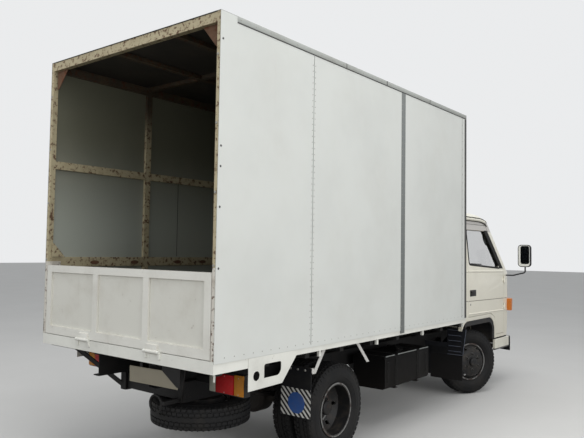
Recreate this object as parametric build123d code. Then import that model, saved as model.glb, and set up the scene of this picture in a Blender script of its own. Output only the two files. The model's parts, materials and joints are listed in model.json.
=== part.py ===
from build123d import *
import os
from math import cos, radians, sin, sqrt, tan

# Light cab-over box truck, in millimetres.
# X is the vehicle's left, the vehicle faces -Y, Z is up and the tyres stand on Z = 0.
# "Ahead" is a distance from the box's rear face towards the cab.

# Overall places
box_length = 3810
cab_reach = 1850
bumper_reach = box_length + cab_reach
hinge_reach = 24
box_rear_y = (bumper_reach - hinge_reach) / 2
seat_gap = 0.3
running_gap = 0.06
moving_gap = 5.0


def fore(reach):
    """A distance ahead of the box's rear face, from one ahead of its front face."""
    return box_length + reach


# Box body
box_width = 1976
box_top = 3185
skin = 5
sill_bottom = 885
side_sill_bottom = 910
rear_sill_ahead = 330
sill_top = 965
sill_wall = 28
skin_bottom = 950
floor_bottom = 935
bearer_bottom = 865
bearer_width = 50
stringer_wall = 8
frame_depth = 28
post_width = 45
middle_post_width = 60
middle_post_places = (993, 2341)
lashing_rail = (1500, 1580)
middle_rail = (2304, 2370)
header_height = 70
bow_height = 34
bow_width = 50
hook_width = 26
hook_drop = 45
hook_end_gap = 50
hook_places = (1130, 1970, 2820, box_length - hook_end_gap)

# Tailgate and its hinges
gate_thickness = 40
gate_top = 1515
gate_frame = 64
gate_recess = 14
gate_stile_places = (285, -308)
gate_hinge_places = (412, -398)
gate_knuckle_radius = 12
gate_pin_radius = 5
gate_hinge_width = 165

# Ladder frame
rail_outer_x = 360
rail_flange = 70
rail_bottom = 560
rail_top = 700
rail_wall = 8
rail_rear_ahead = 320
rail_front_ahead = fore(1720)
member_width = 70
member_places = (365, 598, 1060, 2150, 3100, fore(1370), fore(1630))
cab_post_ahead = fore(120)
engine_mount_ahead = fore(840)
gearbox_cradle_ahead = fore(-60)

# Axles and springs
rear_axle_ahead = 1512
front_axle_ahead = fore(727)
beam_height = 60
beam_width = 64
beam_web = 22
beam_drop = 25
kingpin_x = 628
kingpin_radius = 14
boss_radius = 34
boss_height = 90
yoke_thickness = 30
spindle_radius = 22
arm_length = 130
arm_width = 36
arm_thickness = 18
tie_rod_radius = 13
tie_eye_radius = 22
tie_eye_height = 24
tie_pin_radius = 9
tie_loose_pin_radius = 6
parked_steer = 26.4
spring_x = 325
spring_width = 50
leaf_thickness = 9
leaf_count = 4
leaf_shortening = 0.2
spring_camber = 62
front_spring_length = 1060
rear_spring_length = 1020
eye_radius = 19
rear_tube_radius = 42
banjo_radius = 150
banjo_half_width = 95

# Wheels
tyre_radius = 377.5
tyre_width = 183
bead_radius = 204
bead_half_width = 66
rim_wall = 6
flange_radius = 216
flange_wall = 8
disc_offset = 107.5
disc_wall = 8
disc_bore = 62
wheel_from_kingpin = 70
twin_track_outer_x = box_width / 2 - 103
hand_hole_count = 6
hand_hole_radius = 17
drum_radius = 160
drum_wall = 10
hub_radius = 42
plate_wall = 6
cap_radius = 48
cap_height = 34
axle_cap_radius = 58
axle_cap_length = 92

# Power train and tanks
engine_size = (470, 700, 520)
engine_bottom = 430
engine_front_ahead = fore(1190)
gearbox_length = 640
shaft_radius = 36
shaft_front_z = 545
silencer_radius = 75
silencer_length = 560
silencer_x = 235
pipe_radius = 21
tank_outer_x = box_width / 2 - 188
tank_inner_x = 450
tank_ahead = (2403, 3286)
tank_z = (378, 690)
tank_strap_places = (2610, 3050)
tank_neck_ahead = 2750
battery_outer_x = box_width / 2 - 228
battery_ahead = (2960, 3290)
battery_strap_places = (3020, 3230)
bracket_wall = 10
strap_width = 46
strap_wall = 5

# Rear hardware
lamp_ahead = 380
lamp_outer_x = box_width / 2 - 93
lamp_inner_x = lamp_outer_x - 330
lamp_z = (665, 790)
lamp_depth = 62
tail_plate = 12
brace_size = (40, 9)
brace_foot = (338, 314, 596)
brace_head = (650, 60, 900)
tow_arm_ahead = (168, 320)
spare_ahead = 598
spare_x = -250
spare_bottom = 370
carrier_radius = 12
carrier_plate_radius = 72
carrier_plate_wall = 8
loop_radius = 62
loop_bar_radius = 9
loop_centre = (-235, 175, 560)
skirt_wall = 4
skirt_corners = ((317, 949), (317, 732), (667, 739), (826, 912), (826, 949))
skirt_window = (475, 655, 800, 893)
skirt_hole = (398, 824, 32)
stay_wall = 5
stay_width = 42
stay_lines = (((1200, side_sill_bottom), (1072, 740)), ((1668, side_sill_bottom), (1835, 734)))
flap_ahead = 1050
flap_wall = 8
flap_outer_x = box_width / 2 - 20
flap_inner_x = flap_outer_x - 303
flap_z = (402, 780)
flap_bar_height = 34
guard_ahead = fore(275)
guard_wall = 8
guard_z = (500, 800)
guard_inner_x = 640
guard_outer_x = (832, 872)
guard_flap_z = (214, 500)
guard_flap_x = (430, 826)
louvre_count = 5
louvre_radius = 11

# Cab: sections from the skirt to the top of the windscreen
cab_rear_ahead = fore(70)
cab_wall = 45
nose_wall = 25
cab_corner = 115
cab_sections = (
    # height, half width, side end ahead, corner ahead, nose ahead
    (612, 845, fore(1615), fore(1725), fore(1780)),
    (1080, 848, fore(1640), fore(1745), fore(1795)),
    (1420, 845, fore(1635), fore(1735), fore(1790)),
    (2030, 780, fore(1124), fore(1225), fore(1300)),
)
roof_sections = (
    # height, inset at the sides, inset at the front and rear
    (2030, 0, 0),
    (2085, 6, 110),
    (2125, 40, 200),
    (2155, 110, 300),
    (2172, 250, 440),
)
roof_rear_inset_share = 0.25
drip_rail_z = 2066
drip_rail_size = 14
nose_bottom = 682
nose_room_ahead = fore(1570)
nose_bottom_ahead = fore(1625)
high_floor = 840
footwell_floor = 720
floor_wall = 40
footwell_rear_ahead = fore(1235)
arch_front_ahead = fore(1210)
arch_rear_ahead = fore(200)
arch_top = 880
arch_radius = 185
arch_band = 58
arch_band_depth = 30
liner_inner_x = 560
liner_rear_ahead = fore(315)
liner_wall = 10
hump_half_width = 290
hump_top = 1010
hump_wall = 25
hump_ahead = (fore(340), fore(1235))
windscreen_bottom = 1478
windscreen_top = 1985
windscreen_half_widths = (745, 662)
rear_window_half_width = 520
rear_window_z = (1500, 1850)
glass_wall = 6
glass_inset = 16

# Doors
door_gap = 5
door_rear_ahead = fore(395)
door_front_ahead = fore(1525)
door_top = 2012
door_bottom = 650
door_arch_z = 922
door_pillar = ((fore(1525), 1455), (fore(1060), 2012))
door_arch_front_ahead = fore(1252)
window_sill_rear = (fore(452), 1535)
window_sill_front = (fore(1395), 1482)
window_top_front = (fore(1004), 1935)
window_top_rear = (fore(460), 1935)
door_hinge_heights = (985, 1330)
door_hinge_out = 6
door_knuckle_radius = 9
door_knuckle_height = 34
door_pin_radius = 5
door_leaf_length = 46
door_leaf_height = 40

# Cab tilt
tilt_ahead = fore(1690)
tilt_z = 500
tilt_pin_radius = 12
tilt_eye_radius = 26
tilt_arm_inner_x = 368
tilt_arm_wall = 22
tilt_arm_top_ahead = fore(1590)

# Cab front and inside
grille_half_width = 430
grille_z = (985, 1195)
grille_slots = 5
grille_slot_height = 24
lamp_block = (468, 690)
turn_lamp_x = 745
turn_lamp_z = (930, 1080)
turn_lamp_ahead = fore(1628)
turn_lamp_proud = 52
dash_ahead = fore(1280)
dash_z = (1120, 1370)
seat_driver = (-700, -320)
seat_passenger = (-240, 700)
seat_ahead = (fore(340), fore(880))
seat_base_z = (1012, 1130)
seat_back_top = 1730
seat_back_depth = 120
wheel_rim_radius = 195
wheel_rim_tube = 15
wheel_centre = (-470, fore(1175), 1330)
wheel_tilt = 32
column_radius = 26
mirror_head = (160, 60, 285)
mirror_centre = (1080, fore(1640), 1640)
mirror_tube_radius = 9
mirror_foot = (838, fore(1610), 1385)

# Front bumper
bumper_z = (460, 590)
bumper_wall = 30
bumper_half_width = 850
bumper_rear_ahead = fore(1212)
bumper_corner_ahead = fore(1715)
bumper_flange = 60


def at(ahead):
    """Y of a place that lies this far ahead of the box's rear face."""
    return box_rear_y - ahead


def block(x, ahead, z):
    """A box between two X values, two distances ahead and two heights."""
    size = (abs(x[1] - x[0]), abs(ahead[1] - ahead[0]), abs(z[1] - z[0]))
    centre = ((x[0] + x[1]) / 2, at((ahead[0] + ahead[1]) / 2), (z[0] + z[1]) / 2)
    return Pos(*centre) * Box(*size)


def around(value, width):
    """The two limits of a band of this width about a value."""
    return (value - width / 2, value + width / 2)


def mirrored(shape):
    """The same piece on the other side of the vehicle."""
    return mirror(shape, about=Plane.YZ)


def x_cylinder(radius, x, ahead, z):
    """A round bar along X between two X values."""
    centre = Pos((x[0] + x[1]) / 2, at(ahead), z)
    return centre * Rot(0, 90, 0) * Cylinder(radius, abs(x[1] - x[0]))


def z_cylinder(radius, x, y, z):
    """A round bar along Z between two heights."""
    return Pos(x, y, (z[0] + z[1]) / 2) * Cylinder(radius, abs(z[1] - z[0]))


def side_face(corners, x):
    """A face in the side plane at this X from (ahead, height) corners."""
    points = [(x, at(a), z) for a, z in corners]
    return make_face(Polyline(*points, close=True))


def side_plate(corners, x):
    """A plate between two X values with the outline of (ahead, height) corners."""
    return extrude(side_face(corners, x[0]), amount=x[1] - x[0], dir=(1, 0, 0))


def front_plate(corners, ahead):
    """A plate between two distances ahead with the outline of (x, height) corners."""
    points = [(x, at(ahead[0]), z) for x, z in corners]
    return extrude(make_face(Polyline(*points, close=True)), amount=ahead[1] - ahead[0], dir=(0, -1, 0))


def solids_of(*shapes):
    """All solids of the given shapes, in order."""
    found = []
    for shape in shapes:
        found += list(shape.solids())
    return found


def save(name, *shapes):
    """Write one node, as one solid or several that don't touch."""
    pieces = solids_of(*shapes)
    shape = pieces[0] if len(pieces) == 1 else Compound(children=pieces)
    export_step(shape, f"parts/{name}.step")


# Ladder frame, with what is welded to it


def rail():
    """The left rail, a channel whose open side faces inwards."""
    inner_x = rail_outer_x - rail_flange
    body = block((inner_x, rail_outer_x), (rail_rear_ahead, rail_front_ahead), (rail_bottom, rail_top))
    hollow = block((inner_x - 1, rail_outer_x - rail_wall), (rail_rear_ahead - 1, rail_front_ahead + 1),
                   (rail_bottom + rail_wall, rail_top - rail_wall))
    return body - hollow


def spring_hangers(axle_ahead, length, eye_z):
    """The two pairs of cheeks that hold a spring's eyes under the left rail."""
    cheeks = []
    for side in (-1, 1):
        eye_ahead = axle_ahead + side * length / 2
        for x in (spring_x - spring_width / 2 - seat_gap - 7, spring_x + spring_width / 2 + seat_gap):
            plate = block((x, x + 7), around(eye_ahead, 2 * eye_radius + 16), (eye_z, rail_bottom))
            cheeks.append(plate + x_cylinder(eye_radius + 8, (x, x + 7), eye_ahead, eye_z))
    return cheeks


def tank_cradles(places, inner_x, outer_x, bottom, side):
    """The L-shaped arms that carry a tank or box outside one rail."""
    arms = []
    for place in places:
        ahead = around(place, strap_width)
        foot = block((rail_outer_x, inner_x - seat_gap), ahead, (rail_bottom + 20, rail_bottom + 80))
        leg = block((inner_x - seat_gap - bracket_wall, inner_x - seat_gap), ahead,
                    (bottom - seat_gap - bracket_wall, rail_bottom + 80))
        shelf = block((inner_x - seat_gap - bracket_wall, outer_x), ahead,
                      (bottom - seat_gap - bracket_wall, bottom - seat_gap))
        arm = foot + leg + shelf
        arms.append(arm if side > 0 else mirrored(arm))
    return arms


def spring_centre_z(axle_ahead):
    """Height of the underside of a spring pack over its axle."""
    if axle_ahead == front_axle_ahead:
        return tyre_radius - beam_drop + beam_height / 2
    return tyre_radius + rear_tube_radius + 10


def spring_eye_z(axle_ahead):
    """Height of a spring's eyes, above its centre by the camber."""
    return spring_centre_z(axle_ahead) + leaf_count * leaf_thickness + spring_camber


def rail_brackets():
    """Every bracket that both rails carry alike, on the left side."""
    one_side = []
    for axle, length in ((front_axle_ahead, front_spring_length), (rear_axle_ahead, rear_spring_length)):
        one_side += spring_hangers(axle, length, spring_eye_z(axle))
    one_side.append(block((rail_outer_x - rail_flange + 8, rail_outer_x - 8), around(cab_post_ahead, 60),
                          (rail_top, high_floor - seat_gap)))
    engine_half = engine_size[0] / 2
    one_side.append(block((engine_half + seat_gap, rail_outer_x - rail_wall), around(engine_mount_ahead, 90),
                          (rail_bottom + rail_wall, rail_bottom + 60)))
    cradle_leg = block((rail_outer_x - rail_flange, rail_outer_x - 40), around(gearbox_cradle_ahead, 60),
                       (engine_bottom - 30, rail_bottom))
    one_side.append(cradle_leg)
    tilt_lug = x_cylinder(tilt_eye_radius, (rail_outer_x - 30, rail_outer_x), tilt_ahead, tilt_z)
    tilt_lug += block((rail_outer_x - 30, rail_outer_x), around(tilt_ahead, 2 * tilt_eye_radius), (tilt_z, rail_bottom))
    tilt_pin = x_cylinder(tilt_pin_radius, (rail_outer_x - 10, tilt_arm_inner_x + tilt_arm_wall + 6), tilt_ahead, tilt_z)
    one_side += [tilt_lug, tilt_pin]
    horn = block((rail_outer_x - rail_flange, rail_outer_x), (rail_front_ahead - 40, bumper_reach),
                 (rail_bottom - 60, rail_bottom))
    one_side.append(horn & bumper_core(bumper_wall + seat_gap))
    return one_side


def frame_rail(side):
    """One rail with every bracket that is welded to it; the tanks hang on opposite sides."""
    pieces = [rail()] + rail_brackets()
    if side > 0:
        pieces += tank_cradles(battery_strap_places, tank_inner_x, battery_outer_x, tank_z[0] + 60, 1)
        return pieces[0].fuse(*pieces[1:])
    pieces = [mirrored(piece) for piece in pieces]
    pieces += tank_cradles(tank_strap_places, tank_inner_x, tank_outer_x, tank_z[0], -1)
    return pieces[0].fuse(*pieces[1:])


def cross_members():
    """The members between the rails and the beam under the gearbox."""
    reach = rail_outer_x - rail_wall - seat_gap
    members = [block((-reach, reach), around(place, member_width), (rail_bottom + rail_wall + 4, rail_top - rail_wall - 4))
               for place in member_places]
    cradle_reach = rail_outer_x - rail_flange - seat_gap
    members.append(block((-cradle_reach, cradle_reach), around(gearbox_cradle_ahead, 60),
                         (engine_bottom - 30, engine_bottom - seat_gap)))
    return members


# Axles, springs and steering


def front_axle():
    """A dropped I-beam with a boss and a fixed kingpin at each end."""
    centre = tyre_radius - beam_drop
    half = beam_height / 2
    end = kingpin_x - boss_radius + 8
    drop_end = 520
    outline = [(-end, tyre_radius + half), (-drop_end, centre + half), (drop_end, centre + half),
               (end, tyre_radius + half), (end, tyre_radius - half), (drop_end, centre - half),
               (-drop_end, centre - half), (-end, tyre_radius - half)]
    beam = front_plate(outline, around(front_axle_ahead, beam_width))
    pocket_depth = (beam_width - beam_web) / 2
    for side in (-1, 1):
        ahead = front_axle_ahead + side * (beam_web / 2 + pocket_depth / 2)
        beam -= block((-drop_end + 20, drop_end - 20), around(ahead, pocket_depth),
                      (centre - half + 12, centre + half - 12))
    for x in (-kingpin_x, kingpin_x):
        y = at(front_axle_ahead)
        beam += z_cylinder(boss_radius, x, y, around(tyre_radius, boss_height))
        beam += z_cylinder(kingpin_radius, x, y, around(tyre_radius, boss_height + 2 * yoke_thickness + 14))
    return beam


def leaf_spring(axle_ahead, length):
    """One pack of leaves as concentric arcs, longest on top, with rolled eyes."""
    top = spring_centre_z(axle_ahead) + leaf_count * leaf_thickness
    radius = ((length / 2) ** 2 + spring_camber ** 2) / (2 * spring_camber)
    pack = None
    for index in range(leaf_count):
        half = length / 2 * (1 - leaf_shortening * index)
        inner = radius + index * leaf_thickness
        outer = inner + leaf_thickness
        inner_drop = inner - sqrt(inner ** 2 - half ** 2)
        outer_drop = outer - sqrt(outer ** 2 - half ** 2)
        low = top - index * leaf_thickness
        x = spring_x - spring_width / 2
        y = at(axle_ahead)
        upper = ThreePointArc((x, y - half, low + inner_drop), (x, y, low), (x, y + half, low + inner_drop))
        end = Line((x, y + half, low + inner_drop), (x, y + half, low - leaf_thickness + outer_drop))
        lower = ThreePointArc((x, y + half, low - leaf_thickness + outer_drop), (x, y, low - leaf_thickness),
                              (x, y - half, low - leaf_thickness + outer_drop))
        start = Line((x, y - half, low - leaf_thickness + outer_drop), (x, y - half, low + inner_drop))
        leaf = extrude(make_face(Wire([upper, end, lower, start])), amount=spring_width, dir=(1, 0, 0))
        pack = leaf if pack is None else pack + leaf
    for side in (-1, 1):
        pack += x_cylinder(eye_radius, around(spring_x, spring_width), axle_ahead + side * length / 2,
                           spring_eye_z(axle_ahead))
    return pack


def leaf_springs():
    """All four leaf packs."""
    packs = [leaf_spring(front_axle_ahead, front_spring_length), leaf_spring(rear_axle_ahead, rear_spring_length)]
    return packs + [mirrored(pack) for pack in packs]


def steering_place(side):
    """Location of a parked front wheel's kingpin, turned to the parked angle."""
    return Pos(side * kingpin_x, at(front_axle_ahead), tyre_radius) * Rot(0, 0, -parked_steer)


def local_x_cylinder(radius, x):
    """A round bar along X through the local origin."""
    return Pos((x[0] + x[1]) / 2, 0, 0) * Rot(0, 90, 0) * Cylinder(radius, x[1] - x[0])


def knuckle(side):
    """A forged knuckle: fork about the kingpin, spindle, brake plate and steering arm."""
    reach = boss_height / 2 + moving_gap
    web_in = boss_radius + moving_gap + 3
    web_out = wheel_from_kingpin
    body = Pos((web_in + web_out) / 2, 0, 0) * Box(web_out - web_in, 84, 2 * (reach + yoke_thickness))
    for low in (reach, -reach - yoke_thickness):
        body += Pos(0, 0, low + yoke_thickness / 2) * Cylinder(boss_radius - 2, yoke_thickness)
        body += Pos(web_out / 2, 0, low + yoke_thickness / 2) * Box(web_out, 2 * boss_radius - 8, yoke_thickness)
    body += local_x_cylinder(spindle_radius, (web_out - 2, wheel_from_kingpin + disc_offset - disc_wall - 22))
    body += local_x_cylinder(drum_radius - 4, (web_out + 4, web_out + 4 + plate_wall))
    body += local_x_cylinder(hub_radius, (web_out - 2, web_out + 4 + plate_wall))
    arm_low = -reach - yoke_thickness
    body += Pos(0, arm_length / 2, arm_low + arm_thickness / 2) * Box(arm_width, arm_length, arm_thickness)
    body += Pos(0, arm_length, arm_low + arm_thickness / 2) * Cylinder(arm_width / 2 + 2, arm_thickness)
    pin_radius = tie_pin_radius if side < 0 else tie_loose_pin_radius
    pin_length = moving_gap + 1 + tie_eye_height + 4
    body += Pos(0, arm_length, arm_low - pin_length / 2) * Cylinder(pin_radius, pin_length)
    body -= Cylinder(kingpin_radius + running_gap, 4 * reach)
    if side < 0:
        body = mirror(body, about=Plane.YZ)
    return steering_place(side) * body


def tie_rod():
    """The track rod between the two steering arms, with an eye at each end."""
    place = steering_place(0)
    eye = place * Pos(0, arm_length, 0)
    reach = boss_height / 2 + moving_gap + yoke_thickness
    top = tyre_radius - reach - moving_gap - 1
    centre_z = top - tie_eye_height / 2
    centre = eye.position
    rod = Pos(centre.X, centre.Y, centre_z) * Rot(0, 90, 0) * Cylinder(tie_rod_radius, 2 * kingpin_x - tie_eye_radius)
    for side in (-1, 1):
        x = centre.X + side * kingpin_x
        rod += z_cylinder(tie_eye_radius, x, centre.Y, (top - tie_eye_height, top))
    for side in (-1, 1):
        x = centre.X + side * kingpin_x
        rod -= z_cylinder(tie_pin_radius + running_gap, x, centre.Y, (top - 2 * tie_eye_height, top + 10))
    return rod


def rear_axle():
    """A banjo axle: round tubes, a round differential housing and brake plates."""
    y = at(rear_axle_ahead)
    axis = Pos(0, y, tyre_radius)
    plate_x = twin_disc_x() - 150
    axle = axis * Rot(0, 90, 0) * Cylinder(rear_tube_radius, 2 * plate_x)
    housing = axis * Rot(90, 0, 0) * Cylinder(banjo_radius, 2 * banjo_half_width)
    housing = chamfer(housing.edges(), 28)
    axle += housing
    nose = Pos(0, y - banjo_half_width - 40, tyre_radius) * Rot(90, 0, 0) * Cylinder(58, 90)
    axle += nose
    for side in (-1, 1):
        axle += x_cylinder(spindle_radius + 10, around(side * (plate_x + 90), 200), rear_axle_ahead, tyre_radius)
        axle += x_cylinder(drum_radius - 4, around(side * plate_x, plate_wall), rear_axle_ahead, tyre_radius)
        axle += block(around(side * spring_x, spring_width), around(rear_axle_ahead, 110),
                      (tyre_radius, spring_centre_z(rear_axle_ahead) - seat_gap))
    return axle


# Wheels


def twin_disc_x():
    """The plane where the two rear discs meet."""
    return twin_track_outer_x - tyre_width / 2 - disc_offset


def tyre():
    """A tyre about the X axis, with a crowned tread, round shoulders and bulged sidewalls."""
    half = tyre_width / 2
    bead = bead_half_width - seat_gap
    right = [(bead, bead_radius), (bead, flange_radius + 2), (half - 9, 246), (half, 290), (half - 4, 322),
             (half - 13, 352), (half - 30, tyre_radius - 5), (0, tyre_radius)]
    left = [(-x, radius) for x, radius in reversed(right[:-1])]
    return ring_profile(right + left)


def ring_profile(points):
    """A full turn about the X axis of an outline of (x, radius) points."""
    outline = [(x, 0, radius) for x, radius in points]
    return revolve(make_face(Polyline(*outline, close=True)), axis=Axis.X)


def rim():
    """A rim about the X axis: two flanges, barrel and a disc dished to +X, with hand holes."""
    outer = bead_radius - seat_gap
    inner = outer - rim_wall
    edge = bead_half_width + flange_wall
    barrel = ring_profile([(-edge, inner), (-edge, flange_radius), (-bead_half_width, flange_radius),
                           (-bead_half_width, outer), (bead_half_width, outer), (bead_half_width, flange_radius),
                           (edge, flange_radius), (edge, inner)])
    face = disc_offset
    back = disc_offset - disc_wall
    disc = ring_profile([(face, disc_bore), (face, 136), (face - 17, 164), (56, inner + 1), (44, inner + 1),
                         (back - 17, 158), (back, 131), (back, disc_bore)])
    body = barrel + disc
    for index in range(hand_hole_count):
        turn = Rot(360 / hand_hole_count * (index + 0.5), 0, 0)
        body -= turn * Pos(disc_offset - 25, 0, 166) * Rot(0, 90, 0) * Cylinder(hand_hole_radius, 80)
    return body


def front_hub():
    """Brake drum, hub and grease cap of a front wheel, about the X axis."""
    start = disc_offset - wheel_from_kingpin
    back = disc_offset - disc_wall
    open_x = 4 + plate_wall + moving_gap + 1
    bore_end = disc_offset - disc_wall - 20
    drum = local_x_cylinder(drum_radius, (open_x, back)) - local_x_cylinder(drum_radius - drum_wall,
                                                                           (open_x - 1, back - drum_wall))
    hub = local_x_cylinder(hub_radius, (open_x, back + disc_wall))
    centre = local_x_cylinder(disc_bore + 0.5, (back - 1, disc_offset))
    cap = local_x_cylinder(cap_radius, (disc_offset - 1, disc_offset + cap_height))
    cap = chamfer(cap.edges().sort_by(Axis.X)[-1], 9)
    body = drum + hub + centre + cap
    return body - local_x_cylinder(spindle_radius + running_gap, (open_x - 1, bore_end))


def front_wheel(side, shape):
    """Put a wheel piece on a parked knuckle."""
    local = Pos(wheel_from_kingpin, 0, 0) * shape
    if side < 0:
        local = mirror(local, about=Plane.YZ)
    return steering_place(side) * local


def rear_wheel(side, shape):
    """Put a wheel piece on one end of the rear axle."""
    local = Pos(0, at(rear_axle_ahead), tyre_radius) * shape
    return local if side > 0 else mirrored(local)


def twin_tyres():
    """The two tyres of one rear wheel, about the X axis."""
    outer_x = twin_disc_x() + disc_offset
    inner_x = twin_disc_x() - disc_offset
    return [Pos(outer_x, 0, 0) * tyre(), Pos(inner_x, 0, 0) * tyre()]


def twin_rims():
    """The two rims, hub, drum and axle cap of one rear wheel, about the X axis."""
    plane_x = twin_disc_x()
    outer = Pos(plane_x + disc_offset, 0, 0) * mirror(rim(), about=Plane.YZ)
    inner = Pos(plane_x - disc_offset, 0, 0) * rim()
    plate_x = plane_x - 150
    open_x = plate_x + plate_wall / 2 + moving_gap + 1
    drum_end = plane_x - disc_wall
    drum = local_x_cylinder(drum_radius, (open_x, drum_end))
    drum -= local_x_cylinder(drum_radius - drum_wall, (open_x - 1, drum_end - drum_wall))
    hub = local_x_cylinder(hub_radius + 12, (open_x, plane_x + disc_wall))
    centre = local_x_cylinder(disc_bore + 0.5, (drum_end - 1, plane_x + disc_wall))
    cap = local_x_cylinder(axle_cap_radius, (plane_x + disc_wall - 1, plane_x + disc_wall + axle_cap_length))
    cap = chamfer(cap.edges().sort_by(Axis.X)[-1], 7)
    body = inner.fuse(outer, drum, hub, centre, cap)
    spindle_end = plate_x + 90 + 100
    return body - local_x_cylinder(spindle_radius + 10 + running_gap, (open_x - 1, spindle_end + 2))


# Power train and what hangs on the rails


def engine():
    """The engine as one plain block."""
    ahead = (engine_front_ahead - engine_size[1], engine_front_ahead)
    half = engine_size[0] / 2
    return block((-half, half), ahead, (engine_bottom, engine_bottom + engine_size[2]))


def gearbox():
    """Bell housing and gear case, tapering to the rear."""
    front = engine_front_ahead - engine_size[1] - seat_gap
    bell = front_plate([(-190, 440), (190, 440), (190, 720), (110, 800), (-110, 800), (-190, 720)], (front - 170, front))
    case = block((-125, 125), (front - gearbox_length, front - 160), (engine_bottom, 680))
    return bell + case


def gearbox_rear_ahead():
    """Where the propeller shaft meets the gearbox."""
    return engine_front_ahead - engine_size[1] - seat_gap - gearbox_length


def propeller_shaft():
    """A tube from the gearbox down to the axle, with a round joint at each end."""
    front = Vector(0, at(gearbox_rear_ahead() - 24), shaft_front_z)
    rear = Vector(0, at(rear_axle_ahead + banjo_half_width + 85 + 26), tyre_radius)
    tube = Solid.make_cylinder(shaft_radius, (rear - front).length, Plane(origin=front, z_dir=rear - front))
    joints = []
    for ahead, z, reach in ((gearbox_rear_ahead() - 24, shaft_front_z, 23.7), (rear_axle_ahead + banjo_half_width + 85 + 26,
                                                                         tyre_radius, 25.7)):
        joints.append(Pos(0, at(ahead), z) * Rot(90, 0, 0) * Cylinder(52, 2 * reach))
    return joints[0].fuse(joints[1], tube)


def exhaust():
    """Front pipe, silencer, tail pipe out to the left and two hangers up to the rail."""
    z = rail_bottom - silencer_radius - 5
    rear = 2480
    front = rear + silencer_length
    silencer = Pos(silencer_x, at((rear + front) / 2), z) * Rot(90, 0, 0) * Cylinder(silencer_radius, silencer_length)
    silencer = fillet(silencer.edges().filter_by(GeomType.CIRCLE), 18)
    engine_rear = engine_front_ahead - engine_size[1]
    route = FilletPolyline((silencer_x, at(front - 5), z), (silencer_x, at(engine_rear - 450), z),
                           (213, at(engine_rear - 250), 520),
                           (213, at(engine_rear - seat_gap), 520), radius=120)
    front_pipe = sweep(Plane(origin=route @ 0, z_dir=route % 0) * Circle(pipe_radius), path=route)
    tail_route = FilletPolyline((silencer_x, at(rear + 5), z), (silencer_x, at(rear - 220), z),
                                (640, at(rear - 400), z - 40), (box_width / 2 - 83, at(rear - 400), z - 40), radius=90)
    tail_pipe = sweep(Plane(origin=tail_route @ 0, z_dir=tail_route % 0) * Circle(pipe_radius), path=tail_route)
    body = silencer + front_pipe + tail_pipe
    for place in (rear + 90, front - 90):
        body += block((silencer_x - 15, rail_outer_x - 20), around(place, 40),
                      (rail_bottom - 20, rail_bottom - seat_gap))
    return body


def strapped_box(inner_x, outer_x, ahead, z, strap_places, edge):
    """A rounded tank or box with two strap bands round it."""
    body = block((inner_x, outer_x), ahead, z)
    body = fillet(body.edges().filter_by(Axis.Y), edge)
    bands = []
    for place in strap_places:
        band = block((inner_x, outer_x + strap_wall), around(place, strap_width - 10), (z[0], z[1] + strap_wall))
        outer_edges = band.edges().filter_by(Axis.Y).group_by(Axis.X)[-1]
        bands.append(fillet(outer_edges, edge))
    return body.fuse(*bands)


def fuel_tank():
    """The fuel tank on the right, with pressed ends, straps and a slanted filler neck."""
    body = strapped_box(tank_inner_x, tank_outer_x, tank_ahead, tank_z, tank_strap_places, 34)
    for place in (tank_ahead[0] + 55, tank_ahead[1] - 55):
        body += block((tank_inner_x + 60, tank_outer_x + 4), around(place, 22), (tank_z[0] + 60, tank_z[1] - 60))
    neck = Pos(tank_outer_x - 70, at(tank_neck_ahead), tank_z[1] + 6) * Rot(0, 28, 0) * Cylinder(30, 60)
    cap = Pos(tank_outer_x - 54, at(tank_neck_ahead), tank_z[1] + 36) * Rot(0, 28, 0) * Cylinder(40, 22)
    return mirrored(body + neck + cap)


def battery_box():
    """The battery box on the left, with straps."""
    z = (tank_z[0] + 60, tank_z[1])
    return strapped_box(tank_inner_x, battery_outer_x, battery_ahead, z, battery_strap_places, 16)


def spare_wheel():
    """The spare, tyre and rim as one piece, lying flat under the rear."""
    body = rim() + tyre_on_rim()
    centre_z = spare_bottom + tyre_width / 2
    return Pos(spare_x, at(spare_ahead), centre_z) * Rot(0, 90, 0) * body


def tyre_on_rim():
    """A tyre that reaches down to the rim's barrel, to be one solid with it."""
    ring = tyre()
    seat = ring_profile([(-bead_half_width + 0.5, bead_radius - 3), (-bead_half_width + 0.5, bead_radius + 6),
                         (bead_half_width - 0.5, bead_radius + 6), (bead_half_width - 0.5, bead_radius - 3)])
    return ring + seat


def spare_carrier():
    """The rod from a cross member through the spare's disc, with its clamping plates."""
    y = at(spare_ahead)
    disc_low = spare_bottom + tyre_width / 2 - disc_offset
    plate_low = disc_low - seat_gap - carrier_plate_wall
    carrier = z_cylinder(carrier_radius, spare_x, y, (plate_low, rail_bottom + rail_wall + 4 - seat_gap))
    carrier += z_cylinder(carrier_plate_radius, spare_x, y, (plate_low, disc_low - seat_gap))
    return carrier


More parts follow.
